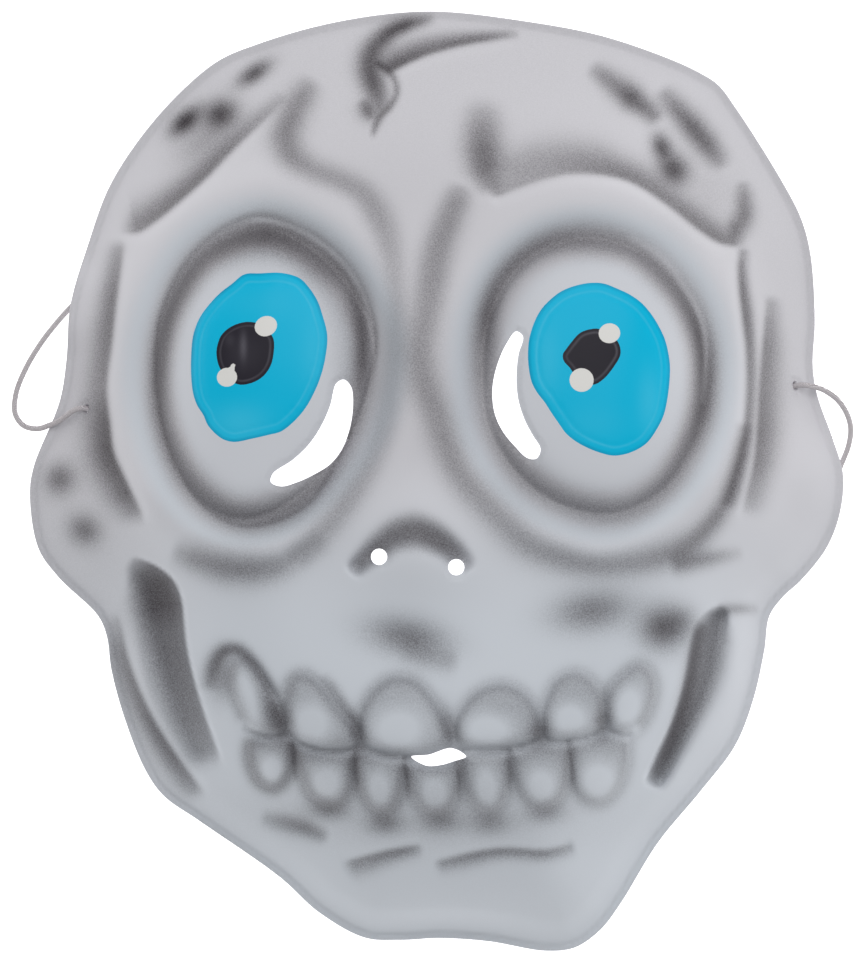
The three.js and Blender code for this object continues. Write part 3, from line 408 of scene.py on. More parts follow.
# Airbrushed strokes, most of them along a crease. "crisp" is the side with a hard edge when one looks
# along the route, if it has one, "deep" the crease's depth as a share of creaseDepth, if it has one,
# "power" how full the stroke is, 2 if left out. Each row: across, up, darkness and reach.
strokes = [
    {"name": "leftRing", "closed": True, "rows": [
        [-42, 52, 0.76, 5], [-31, 48.4, 0.62, 4.8], [-21.6, 41.6, 0.56, 3.6], [-18.4, 33, 0.74, 2.7],
        [-18, 25, 0.7, 2.7], [-19, 17, 0.44, 3], [-22, 8.9, 0.44, 3.2], [-27.5, 0.7, 0.52, 3.2],
        [-36, -5.6, 0.54, 4], [-46, -7.6, 0.58, 4], [-53.6, -5.4, 0.54, 3.8], [-61.8, 2, 0.52, 3.6],
        [-66.6, 12, 0.56, 3.2], [-67.8, 23, 0.72, 2.9], [-65.2, 35.4, 0.72, 3.1], [-56.6, 47, 0.62, 3.8]]},
    {"name": "leftBallShade", "rows": [
        [-34, 47, 0.1, 4], [-27, 41.5, 0.16, 4.4], [-22.8, 34, 0.16, 4.2], [-21.8, 25, 0.14, 3.8],
        [-23.4, 15, 0.05, 3]]},
    {"name": "rightRing", "closed": True, "rows": [
        [35.6, 51.2, 0.52, 3.8], [47, 49.2, 0.46, 3.6], [55.4, 43.4, 0.54, 3.5], [61.4, 36.8, 0.64, 3.4],
        [64.8, 29.4, 0.78, 3.2], [65.6, 22.8, 0.8, 3.2], [64.6, 14.4, 0.72, 3.4], [60.8, 6.2, 0.56, 3.4],
        [54.8, -1.5, 0.47, 3.5], [47.3, -5.7, 0.44, 3.7], [39.1, -6.3, 0.47, 3.8], [31, -4.2, 0.45, 3.5],
        [22.3, 0.5, 0.45, 3.4], [16.4, 7.4, 0.42, 3.4], [12.4, 16.8, 0.36, 3.8], [11.7, 25.8, 0.48, 3.6],
        [12.5, 34.9, 0.7, 3.1], [15.5, 41.7, 0.58, 3.1], [20.7, 46.8, 0.57, 3.2], [27.5, 50.2, 0.55, 3.5]]},
    {"name": "leftBrow", "crisp": "left", "deep": 1, "rows": [
        [-36.4, 82.4, 0.05, 2], [-43.8, 76.2, 0.34, 2.4], [-51.4, 69.8, 0.52, 3], [-56.3, 65.3, 0.6, 3.5],
        [-62.7, 60.3, 0.62, 4], [-68.8, 56, 0.58, 4.6], [-73.8, 53.4, 0.5, 5], [-79, 53.6, 0.1, 4.2]]},
    {"name": "leftTemple", "crisp": "left", "deep": 1.1, "rows": [
        [-77.2, 52, 0.1, 2.6], [-77.9, 47, 0.4, 3], [-79, 40, 0.56, 3.6], [-80.3, 30, 0.57, 4.2],
        [-81.6, 20, 0.5, 4.8], [-80.8, 12, 0.76, 5.6], [-79.8, 6, 0.82, 6], [-77.6, 1.5, 0.74, 6],
        [-75.4, -2.5, 0.7, 5.4], [-73.2, -6.5, 0.4, 4.4], [-71.4, -10.5, 0.05, 3]]},
    {"name": "leftBridge", "deep": 0.6, "rows": [
        [-29.4, 86, 0.17, 2.8], [-32.6, 81.8, 0.42, 3.4], [-35.6, 77, 0.49, 3.8], [-36.9, 73, 0.5, 4],
        [-35.6, 69.3, 0.47, 3.8], [-30.9, 66, 0.35, 3.2], [-23.8, 63.6, 0.33, 3], [-18.3, 60.9, 0.33, 3.1],
        [-14.4, 56.2, 0.33, 3.4], [-11.7, 50, 0.28, 3.4], [-10.2, 40, 0.18, 3.2], [-10.6, 30, 0.15, 3.2],
        [-11.5, 20, 0.15, 3.4], [-13.5, 11, 0.2, 3.6], [-17.2, 2.8, 0.25, 3.6], [-22.3, -4.6, 0.32, 3.5],
        [-28, -11, 0.32, 3.3], [-33, -15, 0.2, 3.2], [-38, -17.5, 0.05, 3]]},
    {"name": "leftCheek", "deep": 0.9, "rows": [
        [-65.5, -14.2, 0.09, 2.6], [-59.5, -16.2, 0.42, 3.4], [-52, -18.2, 0.51, 4], [-45, -18.8, 0.49, 4],
        [-38.5, -18, 0.38, 3.6], [-32, -15, 0.18, 3.2], [-27, -11, 0.05, 3]]},
    {"name": "rightBridge", "deep": 0.7, "rows": [
        [6.8, 63.4, 0.08, 2.6], [4.8, 59.4, 0.39, 3.2], [2.8, 55, 0.42, 3.5], [0.2, 49, 0.42, 3.8],
        [-2.2, 37.2, 0.39, 4.2], [-4, 27, 0.4, 4.5], [-2.8, 20, 0.42, 4.5], [0, 13.9, 0.4, 4.3],
        [2.6, 7.1, 0.41, 4.2], [6, 1, 0.39, 4], [15, -7.6, 0.37, 4.1], [22.4, -13.4, 0.37, 4.2],
        [30.2, -16.4, 0.4, 3.8], [37.9, -18, 0.39, 3.4], [45, -17.8, 0.37, 3.5], [52.5, -16.6, 0.42, 3.7],
        [59.9, -14.4, 0.52, 3.6], [65, -10.8, 0.52, 2.9], [69.6, -5.6, 0.52, 2.5], [72.8, 1.9, 0.47, 2.2],
        [74.8, 8.4, 0.38, 2], [75.6, 13, 0.08, 1.8]]},
    {"name": "rightCheekWedge", "rows": [
        [56, -18, 0.35, 2.6], [61, -17.2, 0.42, 2.6], [66.5, -16.4, 0.4, 2.3], [72, -15.6, 0.2, 1.8],
        [76, -15, 0.02, 1.5]]},
    {"name": "rightTemple", "crisp": "right", "deep": 1, "rows": [
        [75.2, 50, 0.1, 1.4], [74.6, 46, 0.45, 1.5], [74.8, 41, 0.58, 1.7], [75.6, 35, 0.6, 2],
        [76.5, 28, 0.52, 1.8], [76.7, 20, 0.48, 1.8], [76, 12, 0.5, 2], [74.4, 5, 0.5, 2.2],
        [72, -2, 0.42, 2.4], [70, -7, 0.1, 2]]},
    {"name": "rightFlare", "crisp": "right", "deep": 0.9, "rows": [
        [81.8, 40, 0.1, 2], [81.2, 34, 0.4, 2.8], [80.6, 28, 0.52, 3.8], [79.9, 20, 0.52, 4.6],
        [79.3, 11, 0.58, 4.8], [78.4, 4, 0.54, 4.4], [76.6, -3, 0.34, 3.8], [75, -9, 0.05, 3]]},
    {"name": "crownCrack", "deep": 1.2, "rows": [
        [0.4, 98.8, 0.02, 1.2], [-3.5, 98, 0.5, 1.6], [-7.6, 97.1, 0.84, 2], [-11.4, 95.5, 0.78, 2.4],
        [-14.2, 93.1, 0.68, 2.8], [-16, 90.4, 0.74, 3.2], [-16.4, 87.6, 0.78, 3.4], [-15.6, 84.6, 0.78, 3.2],
        [-14.6, 81.8, 0.6, 2.8], [-13.6, 79, 0.3, 2.2], [-12.8, 76.6, 0.02, 1.4]]},
    {"name": "crownLeaf", "deep": 0.3, "rows": [
        [-15.4, 89.4, 0.5, 0.9], [-13.6, 88.2, 0.66, 1], [-12, 87.3, 0.55, 0.9], [-10.2, 85, 0.4, 0.9],
        [-9.8, 82.4, 0.4, 0.9], [-11.4, 79.6, 0.44, 1], [-13.9, 77.3, 0.55, 1], [-15.2, 74.6, 0.4, 0.9],
        [-15.9, 72.2, 0.05, 0.7]]},
    {"name": "crownNotch", "deep": 0.2, "rows": [
        [-18.8, 81.4, 0.2, 1.4], [-17.2, 79, 0.42, 1.4], [-15.6, 76.4, 0.3, 1.1]]},
    {"name": "crownBranch", "crisp": "right", "deep": 0.9, "rows": [
        [-14.2, 86, 0.2, 2.4], [-12.4, 86.9, 0.66, 3], [-9.6, 88.3, 0.76, 3.6], [-5.9, 89.9, 0.7, 3.6],
        [-1.6, 91.4, 0.62, 3.2], [3.3, 92.6, 0.6, 2.7], [8.3, 93.6, 0.6, 2.1], [13.2, 94.3, 0.5, 1.7],
        [17.6, 94.9, 0.3, 1.4], [21, 95.1, 0.03, 1]]},
    {"name": "rightForehead", "deep": 0.8, "power": 2.2, "rows": [
        [11.3, 83, 0.01, 3.4], [11.2, 79.4, 0.14, 4], [11.1, 75.4, 0.42, 4.6], [11.3, 70.6, 0.6, 4.8],
        [12, 66.4, 0.62, 4.4], [13.4, 62.6, 0.4, 3.2], [15, 60, 0.1, 2]]},
    {"name": "rightBrow", "crisp": "right", "deep": 0.8, "rows": [
        [12.2, 60.2, 0.1, 2], [15.5, 61.2, 0.32, 2.4], [19, 62.4, 0.28, 3.4], [25.5, 64.4, 0.28, 4.4],
        [32, 65.7, 0.36, 5], [39, 65.7, 0.48, 5], [45, 64.8, 0.56, 4.2], [49.8, 63.1, 0.54, 3.8],
        [57.9, 58.4, 0.52, 3.4], [65.4, 53.3, 0.56, 3.6], [69.5, 51.2, 0.58, 3.9], [73, 50.6, 0.5, 3.8],
        [76.8, 51.2, 0.1, 3]]},
    {"name": "rightBrowSoft", "deep": 0.3, "rows": [
        [13, 64.6, 0.1, 3], [19, 67, 0.24, 4], [25, 68.8, 0.22, 4.4], [32, 69.4, 0.17, 4.4],
        [39, 68.8, 0.1, 4], [46, 67, 0.02, 3.4]]},
    {"name": "rightBrowEnd", "deep": 0.5, "rows": [
        [70, 52.4, 0.2, 2.6], [73.4, 53.6, 0.48, 2.8], [75.3, 56.6, 0.56, 2.6], [75.2, 60.8, 0.4, 2.2],
        [74.6, 64.5, 0.05, 1.6]]},
    {"name": "upperRightPits", "deep": 0.8, "rows": [
        [36.5, 88.2, 0.1, 2], [41, 85.8, 0.42, 2.6], [44.6, 83.4, 0.52, 3], [47.6, 81.4, 0.6, 3],
        [50.6, 79.4, 0.6, 2.6], [53.2, 77.4, 0.45, 2.4], [55.4, 75.4, 0.05, 2]]},
    {"name": "upperRightBand", "deep": 0.8, "rows": [
        [53.8, 83.8, 0.1, 2.4], [58.4, 79.4, 0.5, 2.8], [62.8, 75, 0.7, 3.1], [66.2, 71.4, 0.64, 3.1],
        [68.6, 68.4, 0.4, 2.8], [70.6, 65, 0.02, 2]]},
    {"name": "noseArch", "deep": 1.4, "power": 2.4, "rows": [
        [-21.4, -19.8, 0.188, 1.7], [-18.6, -17.4, 0.517, 2.2], [-15.6, -15, 0.62, 2.7],
        [-12.8, -13.1, 0.602, 3.1], [-9.6, -11.5, 0.639, 3.6], [-5.6, -10.8, 0.658, 3.9],
        [-1.6, -11.7, 0.696, 3.5], [1.6, -13.3, 0.677, 3], [4.4, -15.2, 0.583, 2.6], [6.8, -17.2, 0.282, 2],
        [8.6, -19.6, 0.047, 1.6]]},
    {"name": "lipShade", "rows": [
        [-10, -35, 0.1, 3], [-3, -37, 0.24, 3.2], [3, -38, 0.24, 3], [7, -38.6, 0.05, 3]]},
    {"name": "biteLine", "crisp": "left", "deep": 0.3, "rows": [
        [-47.8, -52.2, 0.05, 0.6], [-45, -53.2, 0.24, 0.7], [-41.2, -54.2, 0.24, 0.7],
        [-37.4, -53.9, 0.22, 0.8], [-35.6, -53.4, 0.22, 0.8], [-33, -55.5, 0.22, 0.8],
        [-28.1, -56.9, 0.2, 0.8], [-23.2, -57.2, 0.22, 0.8], [-18.7, -56.2, 0.22, 0.8],
        [-16.6, -56.9, 0.22, 0.8], [-12.5, -58.2, 0.2, 0.8], [-7.6, -58.6, 0.2, 0.7],
        [-1.5, -58.2, 0.12, 0.6], [3.3, -56.8, 0.12, 0.6], [6.6, -57, 0.18, 0.8], [12.7, -57.3, 0.2, 0.8],
        [19.7, -56.5, 0.2, 0.8], [24.9, -54.9, 0.2, 0.8], [31.1, -55.2, 0.2, 0.8], [36.4, -54.3, 0.18, 0.8],
        [40.9, -52.6, 0.2, 0.8], [45.8, -53.8, 0.2, 0.8], [48.4, -53, 0.04, 0.6]]},
    {"name": "biteShade", "crisp": "left", "deep": 0.2, "rows": [
        [-46, -53, 0.02, 3], [-40, -55, 0.14, 4], [-28, -57.2, 0.16, 4.6], [-18, -57, 0.14, 4.6],
        [-8, -58.8, 0.1, 4.2], [3, -60, 0.08, 4], [12.7, -57.4, 0.1, 4.4], [22, -56.2, 0.12, 4.6],
        [31, -55.4, 0.1, 4.4], [41, -53.6, 0.08, 4], [48, -52.8, 0.02, 3]]},
    {"name": "leftJawEdge", "crisp": "left", "deep": 1, "rows": [
        [-79.6, -27.4, 0.1, 2], [-78.2, -31, 0.24, 2.8], [-76.8, -36.6, 0.5, 3.4], [-74.4, -42.8, 0.57, 3.3],
        [-70.9, -49.5, 0.6, 3.5], [-67.2, -54.9, 0.62, 3.7], [-64.2, -58.8, 0.6, 3.8],
        [-60.4, -63.4, 0.45, 3.8], [-56.6, -68, 0.1, 3.2]]},
    {"name": "rightSlotLine", "rows": [
        [66, -29.4, 0.1, 1.4], [64.3, -32, 0.5, 1.6], [63, -37, 0.6, 1.7], [61.9, -42.4, 0.62, 1.7],
        [60.2, -48.2, 0.6, 1.7], [58, -53.6, 0.5, 1.6], [55.4, -58.6, 0.36, 1.6], [52.8, -63, 0.1, 1.6]]},
    {"name": "gumArc", "deep": 0.3, "rows": [
        [-55.6, -45.4, 0.1, 1.8], [-55.2, -41.8, 0.4, 2], [-54, -38.4, 0.56, 2], [-51.6, -36, 0.66, 1.9],
        [-48.4, -35.8, 0.6, 1.7], [-45.2, -38.2, 0.5, 1.5], [-41.8, -42.4, 0.42, 1.4],
        [-38.6, -46.4, 0.1, 1.4]]},
    {"name": "upperGum2", "rows": [
        [-28.6, -40.6, 0.05, 1.4], [-25.8, -43.4, 0.26, 1.6], [-23.4, -46.6, 0.34, 1.6],
        [-20.6, -50, 0.4, 1.6], [-18, -53.6, 0.1, 1.4]]},
    {"name": "leftRingLine", "deep": 0.15, "closed": True, "rows": [
        [-44, 56.3, 0.22, 0.7], [-33.9, 53.7, 0.26, 0.6], [-26, 49.5, 0.3, 0.6], [-19.4, 42.6, 0.32, 0.6],
        [-15.7, 35, 0.36, 0.6], [-14.9, 28.1, 0.34, 0.6], [-17.1, 19.4, 0.26, 0.6], [-20.3, 11.7, 0.22, 0.6],
        [-26, 1.9, 0.22, 0.6], [-31.7, -4.9, 0.24, 0.6], [-40.6, -8.7, 0.28, 0.6], [-48.5, -9.2, 0.26, 0.6],
        [-56.4, -5.8, 0.2, 0.6], [-63, 1.9, 0.22, 0.6], [-67, 11.7, 0.26, 0.6], [-68.7, 23.2, 0.28, 0.6],
        [-68.2, 33, 0.26, 0.6], [-64.7, 41.8, 0.2, 0.7], [-59.6, 48.4, 0.18, 0.7],
        [-52.9, 53.3, 0.18, 0.7]]},
    {"name": "chinLeft", "deep": 0.6, "rows": [
        [-44, -70.8, 0.05, 2], [-38.6, -72.1, 0.36, 2.3], [-35, -72.8, 0.48, 2.4], [-31.9, -73.6, 0.52, 2.3],
        [-28.6, -74.8, 0.36, 2], [-25.4, -76, 0.05, 1.6]]},
    {"name": "chinMiddle", "crisp": "left", "deep": 0.6, "rows": [
        [-24, -82, 0.05, 3], [-20.6, -81, 0.4, 3.4], [-16.6, -80, 0.46, 3.2], [-12.8, -79.1, 0.5, 2.6],
        [-9, -78.4, 0.5, 2.2], [-6, -78, 0.4, 2], [-2.6, -77.6, 0.05, 1.6]]},
    {"name": "chinRight", "crisp": "left", "deep": 0.6, "rows": [
        [-1.6, -81.6, 0.05, 2], [1.7, -80.9, 0.34, 2.2], [5.6, -80, 0.42, 2.4], [9.6, -79.2, 0.46, 2.3],
        [13.6, -78.6, 0.46, 2.1], [17.4, -78.4, 0.46, 2], [21.4, -78.6, 0.44, 2], [25.3, -78.9, 0.46, 2],
        [28.4, -78.6, 0.4, 2], [31.4, -78, 0.3, 2], [34.6, -77.2, 0.03, 1.8]]},
    {"name": "rightSlotTail", "deep": 0.3, "rows": [
        [68, -27.4, 0.05, 1.3], [71, -27.3, 0.34, 1.5], [75, -27.2, 0.3, 1.4], [80, -27.4, 0.03, 1.3]]},
]

# The thin dark lines where two lower teeth touch: four places each, then the two middle darknesses
contactReach = 0.6
contactEnds = [0.1, 0.02]
contacts = [
    {"places": [[-35.2, -54.6], [-35, -57.5], [-34.6, -61], [-34.4, -64]], "dark": [0.34, 0.3]},
    {"places": [[-20.2, -56], [-19.8, -59.5], [-19.5, -63], [-19.4, -67]], "dark": [0.36, 0.32]},
    {"places": [[-8, -57.6], [-7.5, -61.5], [-7, -65], [-6.8, -68.6]], "dark": [0.34, 0.28]},
    {"places": [[5.1, -58.6], [5.4, -61.5], [5.5, -65], [5.6, -68.6]], "dark": [0.34, 0.28]},
    {"places": [[17.6, -56], [17.8, -59.5], [17.9, -63], [17.9, -66.6]], "dark": [0.36, 0.3]},
    {"places": [[32.3, -54.6], [32.7, -58], [33.3, -62], [33.9, -66]], "dark": [0.36, 0.3]},
]
for contact in contacts:
    darks = [contactEnds[0], *contact["dark"], contactEnds[1]]
    strokes.append({"name": "contact", "rows": [
        [*place, dark, contactReach] for place, dark in zip(contact["places"], darks)]})

# The two long jaw slots: the middle line, and the hard edge toward the teeth that cuts it off
jawSlots = [
    {"name": "leftJawSlot", "deep": 1, "power": 2.8, "cutSide": -1, "rows": [
        [-75, -16.2, 0.3, 2.4], [-71.6, -18.6, 0.62, 4.4], [-68.8, -22, 0.84, 6.2], [-67, -26.6, 0.86, 7],
        [-65.8, -32, 0.66, 6.9], [-64.4, -37, 0.64, 6.6], [-62.8, -41.7, 0.62, 6.4], [-59.6, -50.4, 0.56, 6],
        [-57, -56.6, 0.42, 5], [-54.6, -62.6, 0.05, 4]],
     "cut": [
        [-86, -15.4], [-76, -15.6], [-71.6, -16.9], [-67.3, -18.8], [-64.1, -21.5], [-62.5, -25.2],
        [-61.9, -30], [-61.2, -35.4], [-59.6, -41.6], [-57.2, -48.6], [-54.4, -55.4], [-51.6, -61.8],
        [-48.4, -68]]},
    {"name": "rightJawSlot", "deep": 0.9, "power": 3, "cutSide": 1, "rows": [
        [71.2, -26.8, 0.2, 1.6], [69, -28.8, 0.5, 2.6], [66.8, -33.4, 0.56, 4.3], [65.2, -40.1, 0.58, 4.4],
        [63, -46, 0.62, 4.1], [59.8, -52.1, 0.64, 3.5], [56.6, -58, 0.62, 3], [54.4, -62, 0.5, 2.7],
        [52.2, -65.6, 0.05, 2]],
     "cut": [
        [82, -26.4], [73, -26.4], [67.8, -27], [64, -29.4], [62.2, -34], [61.2, -39.8], [59.6, -45.6],
        [57, -52.4], [53.8, -58.4], [50.8, -64], [47.6, -68.4]]},
]

# Sprayed patches and pits, and broad patches of painted shade toward the edges: spot, darkness and the pit's
# share of creaseDepth
patches = [
    {"name": "templeOuter", "spot": [-61.6, 76.4, 4.6, 2.3, 40], "dark": 0.93, "deep": 1.2},
    {"name": "templeInner", "spot": [-53, 77.8, 4.3, 3.1, 24], "dark": 0.86, "deep": 0.8},
    {"name": "crownPit", "spot": [-44.8, 86.6, 4.7, 1.9, 35], "dark": 0.74, "deep": 0.9},
    {"name": "leftFlareUpper", "spot": [-92.3, 0.3, 4, 3.5, 0], "dark": 0.56, "deep": 0.9},
    {"name": "leftFlareLower", "spot": [-86, -10.4, 4.2, 3.2, -30], "dark": 0.56, "deep": 0.9},
    {"name": "upperRightLeaf", "spot": [47.4, 81.4, 2.6, 2.6, 0], "dark": 0.3, "deep": 0.4},
    {"name": "pitHigh", "spot": [55.1, 70.8, 2.4, 3, 20], "dark": 0.72, "deep": 0.8},
    {"name": "pitLow", "spot": [57.9, 66, 4.1, 3.1, -50], "dark": 0.8, "deep": 1},
    {"name": "rightCheekInner", "spot": [38, -27.6, 9.4, 4.2, 8], "dark": 0.52, "deep": 0.6},
    {"name": "rightCheekOuter", "spot": [55.2, -31.2, 5.8, 4.6, 0], "dark": 0.74, "deep": 1},
    {"name": "rightCheekTail", "spot": [59.4, -29.8, 4, 3, 20], "dark": 0.34},
    {"name": "lipHollow", "spot": [-7.2, -33.2, 9.6, 3.9, -10], "dark": 0.56, "deep": 0.8},
    {"name": "templeShade", "spot": [-57, 72.6, 8, 3.4, 35], "dark": 0.3},
    {"name": "rightTempleShade", "spot": [66, 60, 9, 8, -30], "dark": 0.12},
    {"name": "crownSmudge", "spot": [-16.6, 78.4, 3, 2.4, -20], "dark": 0.4, "deep": 0.3},
    {"name": "gumHaze", "spot": [-6, -70.6, 44, 7.5, 0], "dark": 0.14},
    # painted shade: broad darkening toward the crown, the sides and the chin, where the sheet slopes away
    # from the light
    {"name": "crownPaintedShade", "spot": [0, 92, 80, 30, 0], "dark": 0.085},
    {"name": "leftLobePaintedShade", "spot": [-94, -8, 20, 26, 0], "dark": 0.09},
    {"name": "leftJawPaintedShade", "spot": [-74, -44, 12, 26, 12], "dark": 0.06},
    {"name": "rightEdgePaintedShade", "spot": [90, 50, 20, 30, 0], "dark": 0.06},
    {"name": "chinPaintedShade", "spot": [6, -92, 44, 14, 0], "dark": 0.03},
    {"name": "gumLeft", "spot": [-52.8, -41.4, 3.4, 5, 0], "dark": 0.4, "deep": 0.4},
    {"name": "gapA", "spot": [-39.4, -50, 2.5, 4.6, 20], "dark": 0.6, "deep": 0.4},
    {"name": "gapB", "spot": [-19.4, -53.2, 1.9, 3.6, 14], "dark": 0.3, "deep": 0.3},
    {"name": "gapC", "spot": [2.6, -52, 2.1, 4.2, 8], "dark": 0.32, "deep": 0.3},
    {"name": "gapD", "spot": [25, -53, 3, 2.6, 0], "dark": 0.36, "deep": 0.3},
    {"name": "gapE", "spot": [40.4, -51.4, 2.1, 2.6, 0], "dark": 0.42, "deep": 0.4},
    {"name": "meetA", "spot": [-36.4, -53.2, 1.8, 1.8, 0], "dark": 0.22},
    {"name": "meetB", "spot": [-18.8, -55.6, 1.8, 2, 0], "dark": 0.28},
    {"name": "meetD", "spot": [24.8, -54.2, 2.6, 1.6, 8], "dark": 0.24},
    {"name": "footC", "spot": [-12.6, -72.4, 4.4, 2.3, 0], "dark": 0.48, "deep": 0.3},
    {"name": "footD", "spot": [1, -71.9, 5, 2.6, 0], "dark": 0.42, "deep": 0.3},
    {"name": "footE", "spot": [12.9, -72.2, 5, 2.6, 0], "dark": 0.38, "deep": 0.3},
    {"name": "footF", "spot": [26.4, -70.4, 5, 2.2, 6], "dark": 0.32, "deep": 0.3},
    {"name": "footB", "spot": [-26.5, -69.8, 5, 2, -4], "dark": 0.42, "deep": 0.3},
]

# Fine pale lines where the double edge of each socket catches the light
paleLines = [
    {"name": "leftSocketLine", "rows": [
        [-47, 54.6, 0.1, 0.8], [-43, 55.3, 0.4, 0.8], [-34.9, 53.8, 0.45, 0.8], [-27.9, 50.3, 0.45, 0.8],
        [-23.2, 46.8, 0.5, 0.8], [-19.7, 42.7, 0.5, 0.8], [-16.9, 37.7, 0.35, 0.8], [-15.4, 32, 0.1, 0.8]]},
    {"name": "rightSocketLine", "rows": [
        [46, 51.6, 0.1, 0.8], [50.8, 49.8, 0.35, 0.8], [56.6, 45.8, 0.4, 0.8], [60, 41.8, 0.45, 0.8],
        [63, 37.8, 0.5, 0.8], [65.2, 32.9, 0.5, 0.8], [66, 27.8, 0.45, 0.8], [65.8, 21.8, 0.3, 0.8],
        [65, 16, 0.1, 0.8]]},
]


def smoothStep(value, low, high):
    t = np.clip((value - low) / (high - low), 0, 1)
    return t * t * (3 - 2 * t)


# For each straight piece of a line: its number and direction, and each point's share along it,
# offset from it and distance
def alongPieces(line, points):
    for i, (a, b) in enumerate(zip(line[:-1], line[1:])):
        d = b - a
        off = points - a
        share = np.clip(off @ d / (d @ d), 0, 1)
        off = off - share[:, None] * d
        yield i, d, share, off, np.hypot(off[:, 0], off[:, 1])


def nearestOn(rows, points, closed=False, steps=6):
    line = smoothCurve(placesOf(rows), closed, steps)
    extra = np.array(rows, float)[:, 2:]
    if closed:
        line = np.concatenate([line, line[:1]])
        extra = np.concatenate([extra, extra[:1]])
    best = np.full(len(points), np.inf)
    side = np.zeros(len(points))
    along = np.zeros(len(points))
    run = np.zeros(len(points))
    runs = np.concatenate([[0], np.cumsum(np.linalg.norm(np.diff(line, axis=0), axis=1))])
    for i, d, share, off, distance in alongPieces(line, points):
        nearer = distance < best
        best[nearer] = distance[nearer]
        side[nearer] = np.sign(d[0] * off[nearer, 1] - d[1] * off[nearer, 0])
        along[nearer] = (i + share[nearer]) / steps
        run[nearer] = runs[i] + share[nearer] * (runs[i + 1] - runs[i])
    marks = np.arange(len(extra))
    values = [np.interp(along, marks, extra[:, k]) for k in range(extra.shape[1])]
    toEnd = np.full(len(points), np.inf) if closed else np.minimum(run, runs[-1] - run)
    return best, side, values, toEnd


def insideOf(loop, points):
    inside = np.zeros(len(points), bool)
    for a, b in zip(loop, np.roll(loop, -1, axis=0)):
        crosses = (a[1] > points[:, 1]) != (b[1] > points[:, 1])
        if abs(b[1] - a[1]) > 1e-12:
            at = (b[0] - a[0]) * (points[:, 1] - a[1]) / (b[1] - a[1]) + a[0]
            inside ^= crosses & (points[:, 0] < at)
    return inside


def distanceTo(loop, points):
    best = np.full(len(points), np.inf)
    for *_, distance in alongPieces(np.concatenate([loop, loop[:1]]), points):
        best = np.minimum(best, distance)
    return best


def nearOnly(points, low, high, margin):
    return np.all((points > low - margin) & (points < high + margin), axis=1)


# Signed distance to a closed loop, negative inside, only worked out close to it
def signedTo(loop, points, far=6.0):
    result = np.full(len(points), far)
    near = nearOnly(points, loop.min(0), loop.max(0), far)
    some = points[near]
    result[near] = distanceTo(loop, some) * np.where(insideOf(loop, some), -1, 1)
    return result


def fittedOutline():
    loop = loopOf(outlinePlaces, 12)
    low, high = loop.min(0), loop.max(0)
    return (loop - (low + high) / 2) * [faceWidth, faceHeight] / (high - low)


def strokeAt(stroke, points, edge):
    reachMost = max(row[3] for row in stroke["rows"]) * acrossUnit
    places = placesOf(stroke["rows"])
    near = nearOnly(points, places.min(0), places.max(0), 2.6 * reachMost)
    shade = np.zeros(len(points))
    profile = np.zeros(len(points))
    if not near.any():
        return shade, profile
    some = points[near]
    distance, side, (dark, reach), toEnd = nearestOn(stroke["rows"], some, stroke.get("closed", False))
    reach = reach * acrossUnit
    ends = smoothStep(toEnd / (sheet["creaseEnd"] * reach), 0, 1)
    crispSide = {"left": 1, "right": -1}.get(stroke.get("crisp"), 0)
    width = np.where(side * crispSide > 0, edge, reach)
    fullness = np.exp(-((distance / width) ** stroke.get("power", 2))) * ends
    if "cut" in stroke:
        # everything on the far side of this edge stays clear
        away, cutSide, _, _ = nearestOn([place + [0, 0] for place in stroke["cut"]], some)
        fullness *= smoothStep(away * cutSide * stroke["cutSide"], -0.5 * edge, 0.5 * edge)
    shade[near] = dark * fullness
    profile[near] = fullness * smoothStep(dark, 0, 0.5 * max(row[2] for row in stroke["rows"]))
    return shade, profile


def ellipseAt(spot, points):
    halfAcross, halfUp, turn = spot[2:]
    angle = math.radians(turn)
    away = points - placesOf([spot])[0]
    across = away[:, 0] * math.cos(angle) + away[:, 1] * math.sin(angle)
    up = away[:, 1] * math.cos(angle) - away[:, 0] * math.sin(angle)
    return across / (halfAcross * acrossUnit), up / (halfUp * upUnit)


def softSpot(spot, points):
    across, up = ellipseAt(spot, points)
    return np.exp(-(across**2 + up**2))


outline = fittedOutline()
slots = [loopOf(rows, 8) for rows in throughSlots.values()]
irises = [loopOf(eye["iris"], 6) for eye in eyes]
pupils = [loopOf(eye["pupil"], 6) for eye in eyes]
toothEdges = [loopOf(tooth["edge"], 5) for tooth in teeth]


def rimHeight(points):
    up = points[:, 1] / halfHeight
    height = np.full(len(points), sheet["wall"] - sheet["rimSink"])
    height += sheet["crownLift"] * smoothStep(up, 0.5, 1) + sheet["chinLift"] * smoothStep(-up, 0.35, 1)
    for under in underpasses:
        away = np.linalg.norm(points - placesOf([under["place"]])[0], axis=1) / (under["half"] * acrossUnit)
        height += sheet["underpassLift"] * np.exp(-(away**4))
    return height


def eyeRelief(points):
    height = np.zeros(len(points))
    for eye in eyes:
        middle = placesOf([eye["middle"]])[0]
        loop = loopOf(eye["groove"], 8) - middle
        angles = np.arctan2(loop[:, 1], loop[:, 0])
        order = np.argsort(angles)
        off = points - middle
        away = np.hypot(off[:, 0], off[:, 1])
        groove = np.interp(np.arctan2(off[:, 1], off[:, 0]), angles[order],
                           np.hypot(loop[:, 0], loop[:, 1])[order], period=fullTurn)
        past = away - groove
        height -= sheet["socketDepth"] * np.exp(-((past / sheet["socketWidth"]) ** 2))
        ridge = (past - sheet["orbitWidth"]) / (sheet["orbitSpread"] * sheet["orbitWidth"])
        height += sheet["orbitRise"] * np.exp(-(ridge**2))
        ball = np.clip(1 - (away / groove) ** 2, 0, 1)
        height += sheet["eyeballRise"] * ball ** sheet["eyeballPower"]
    return height


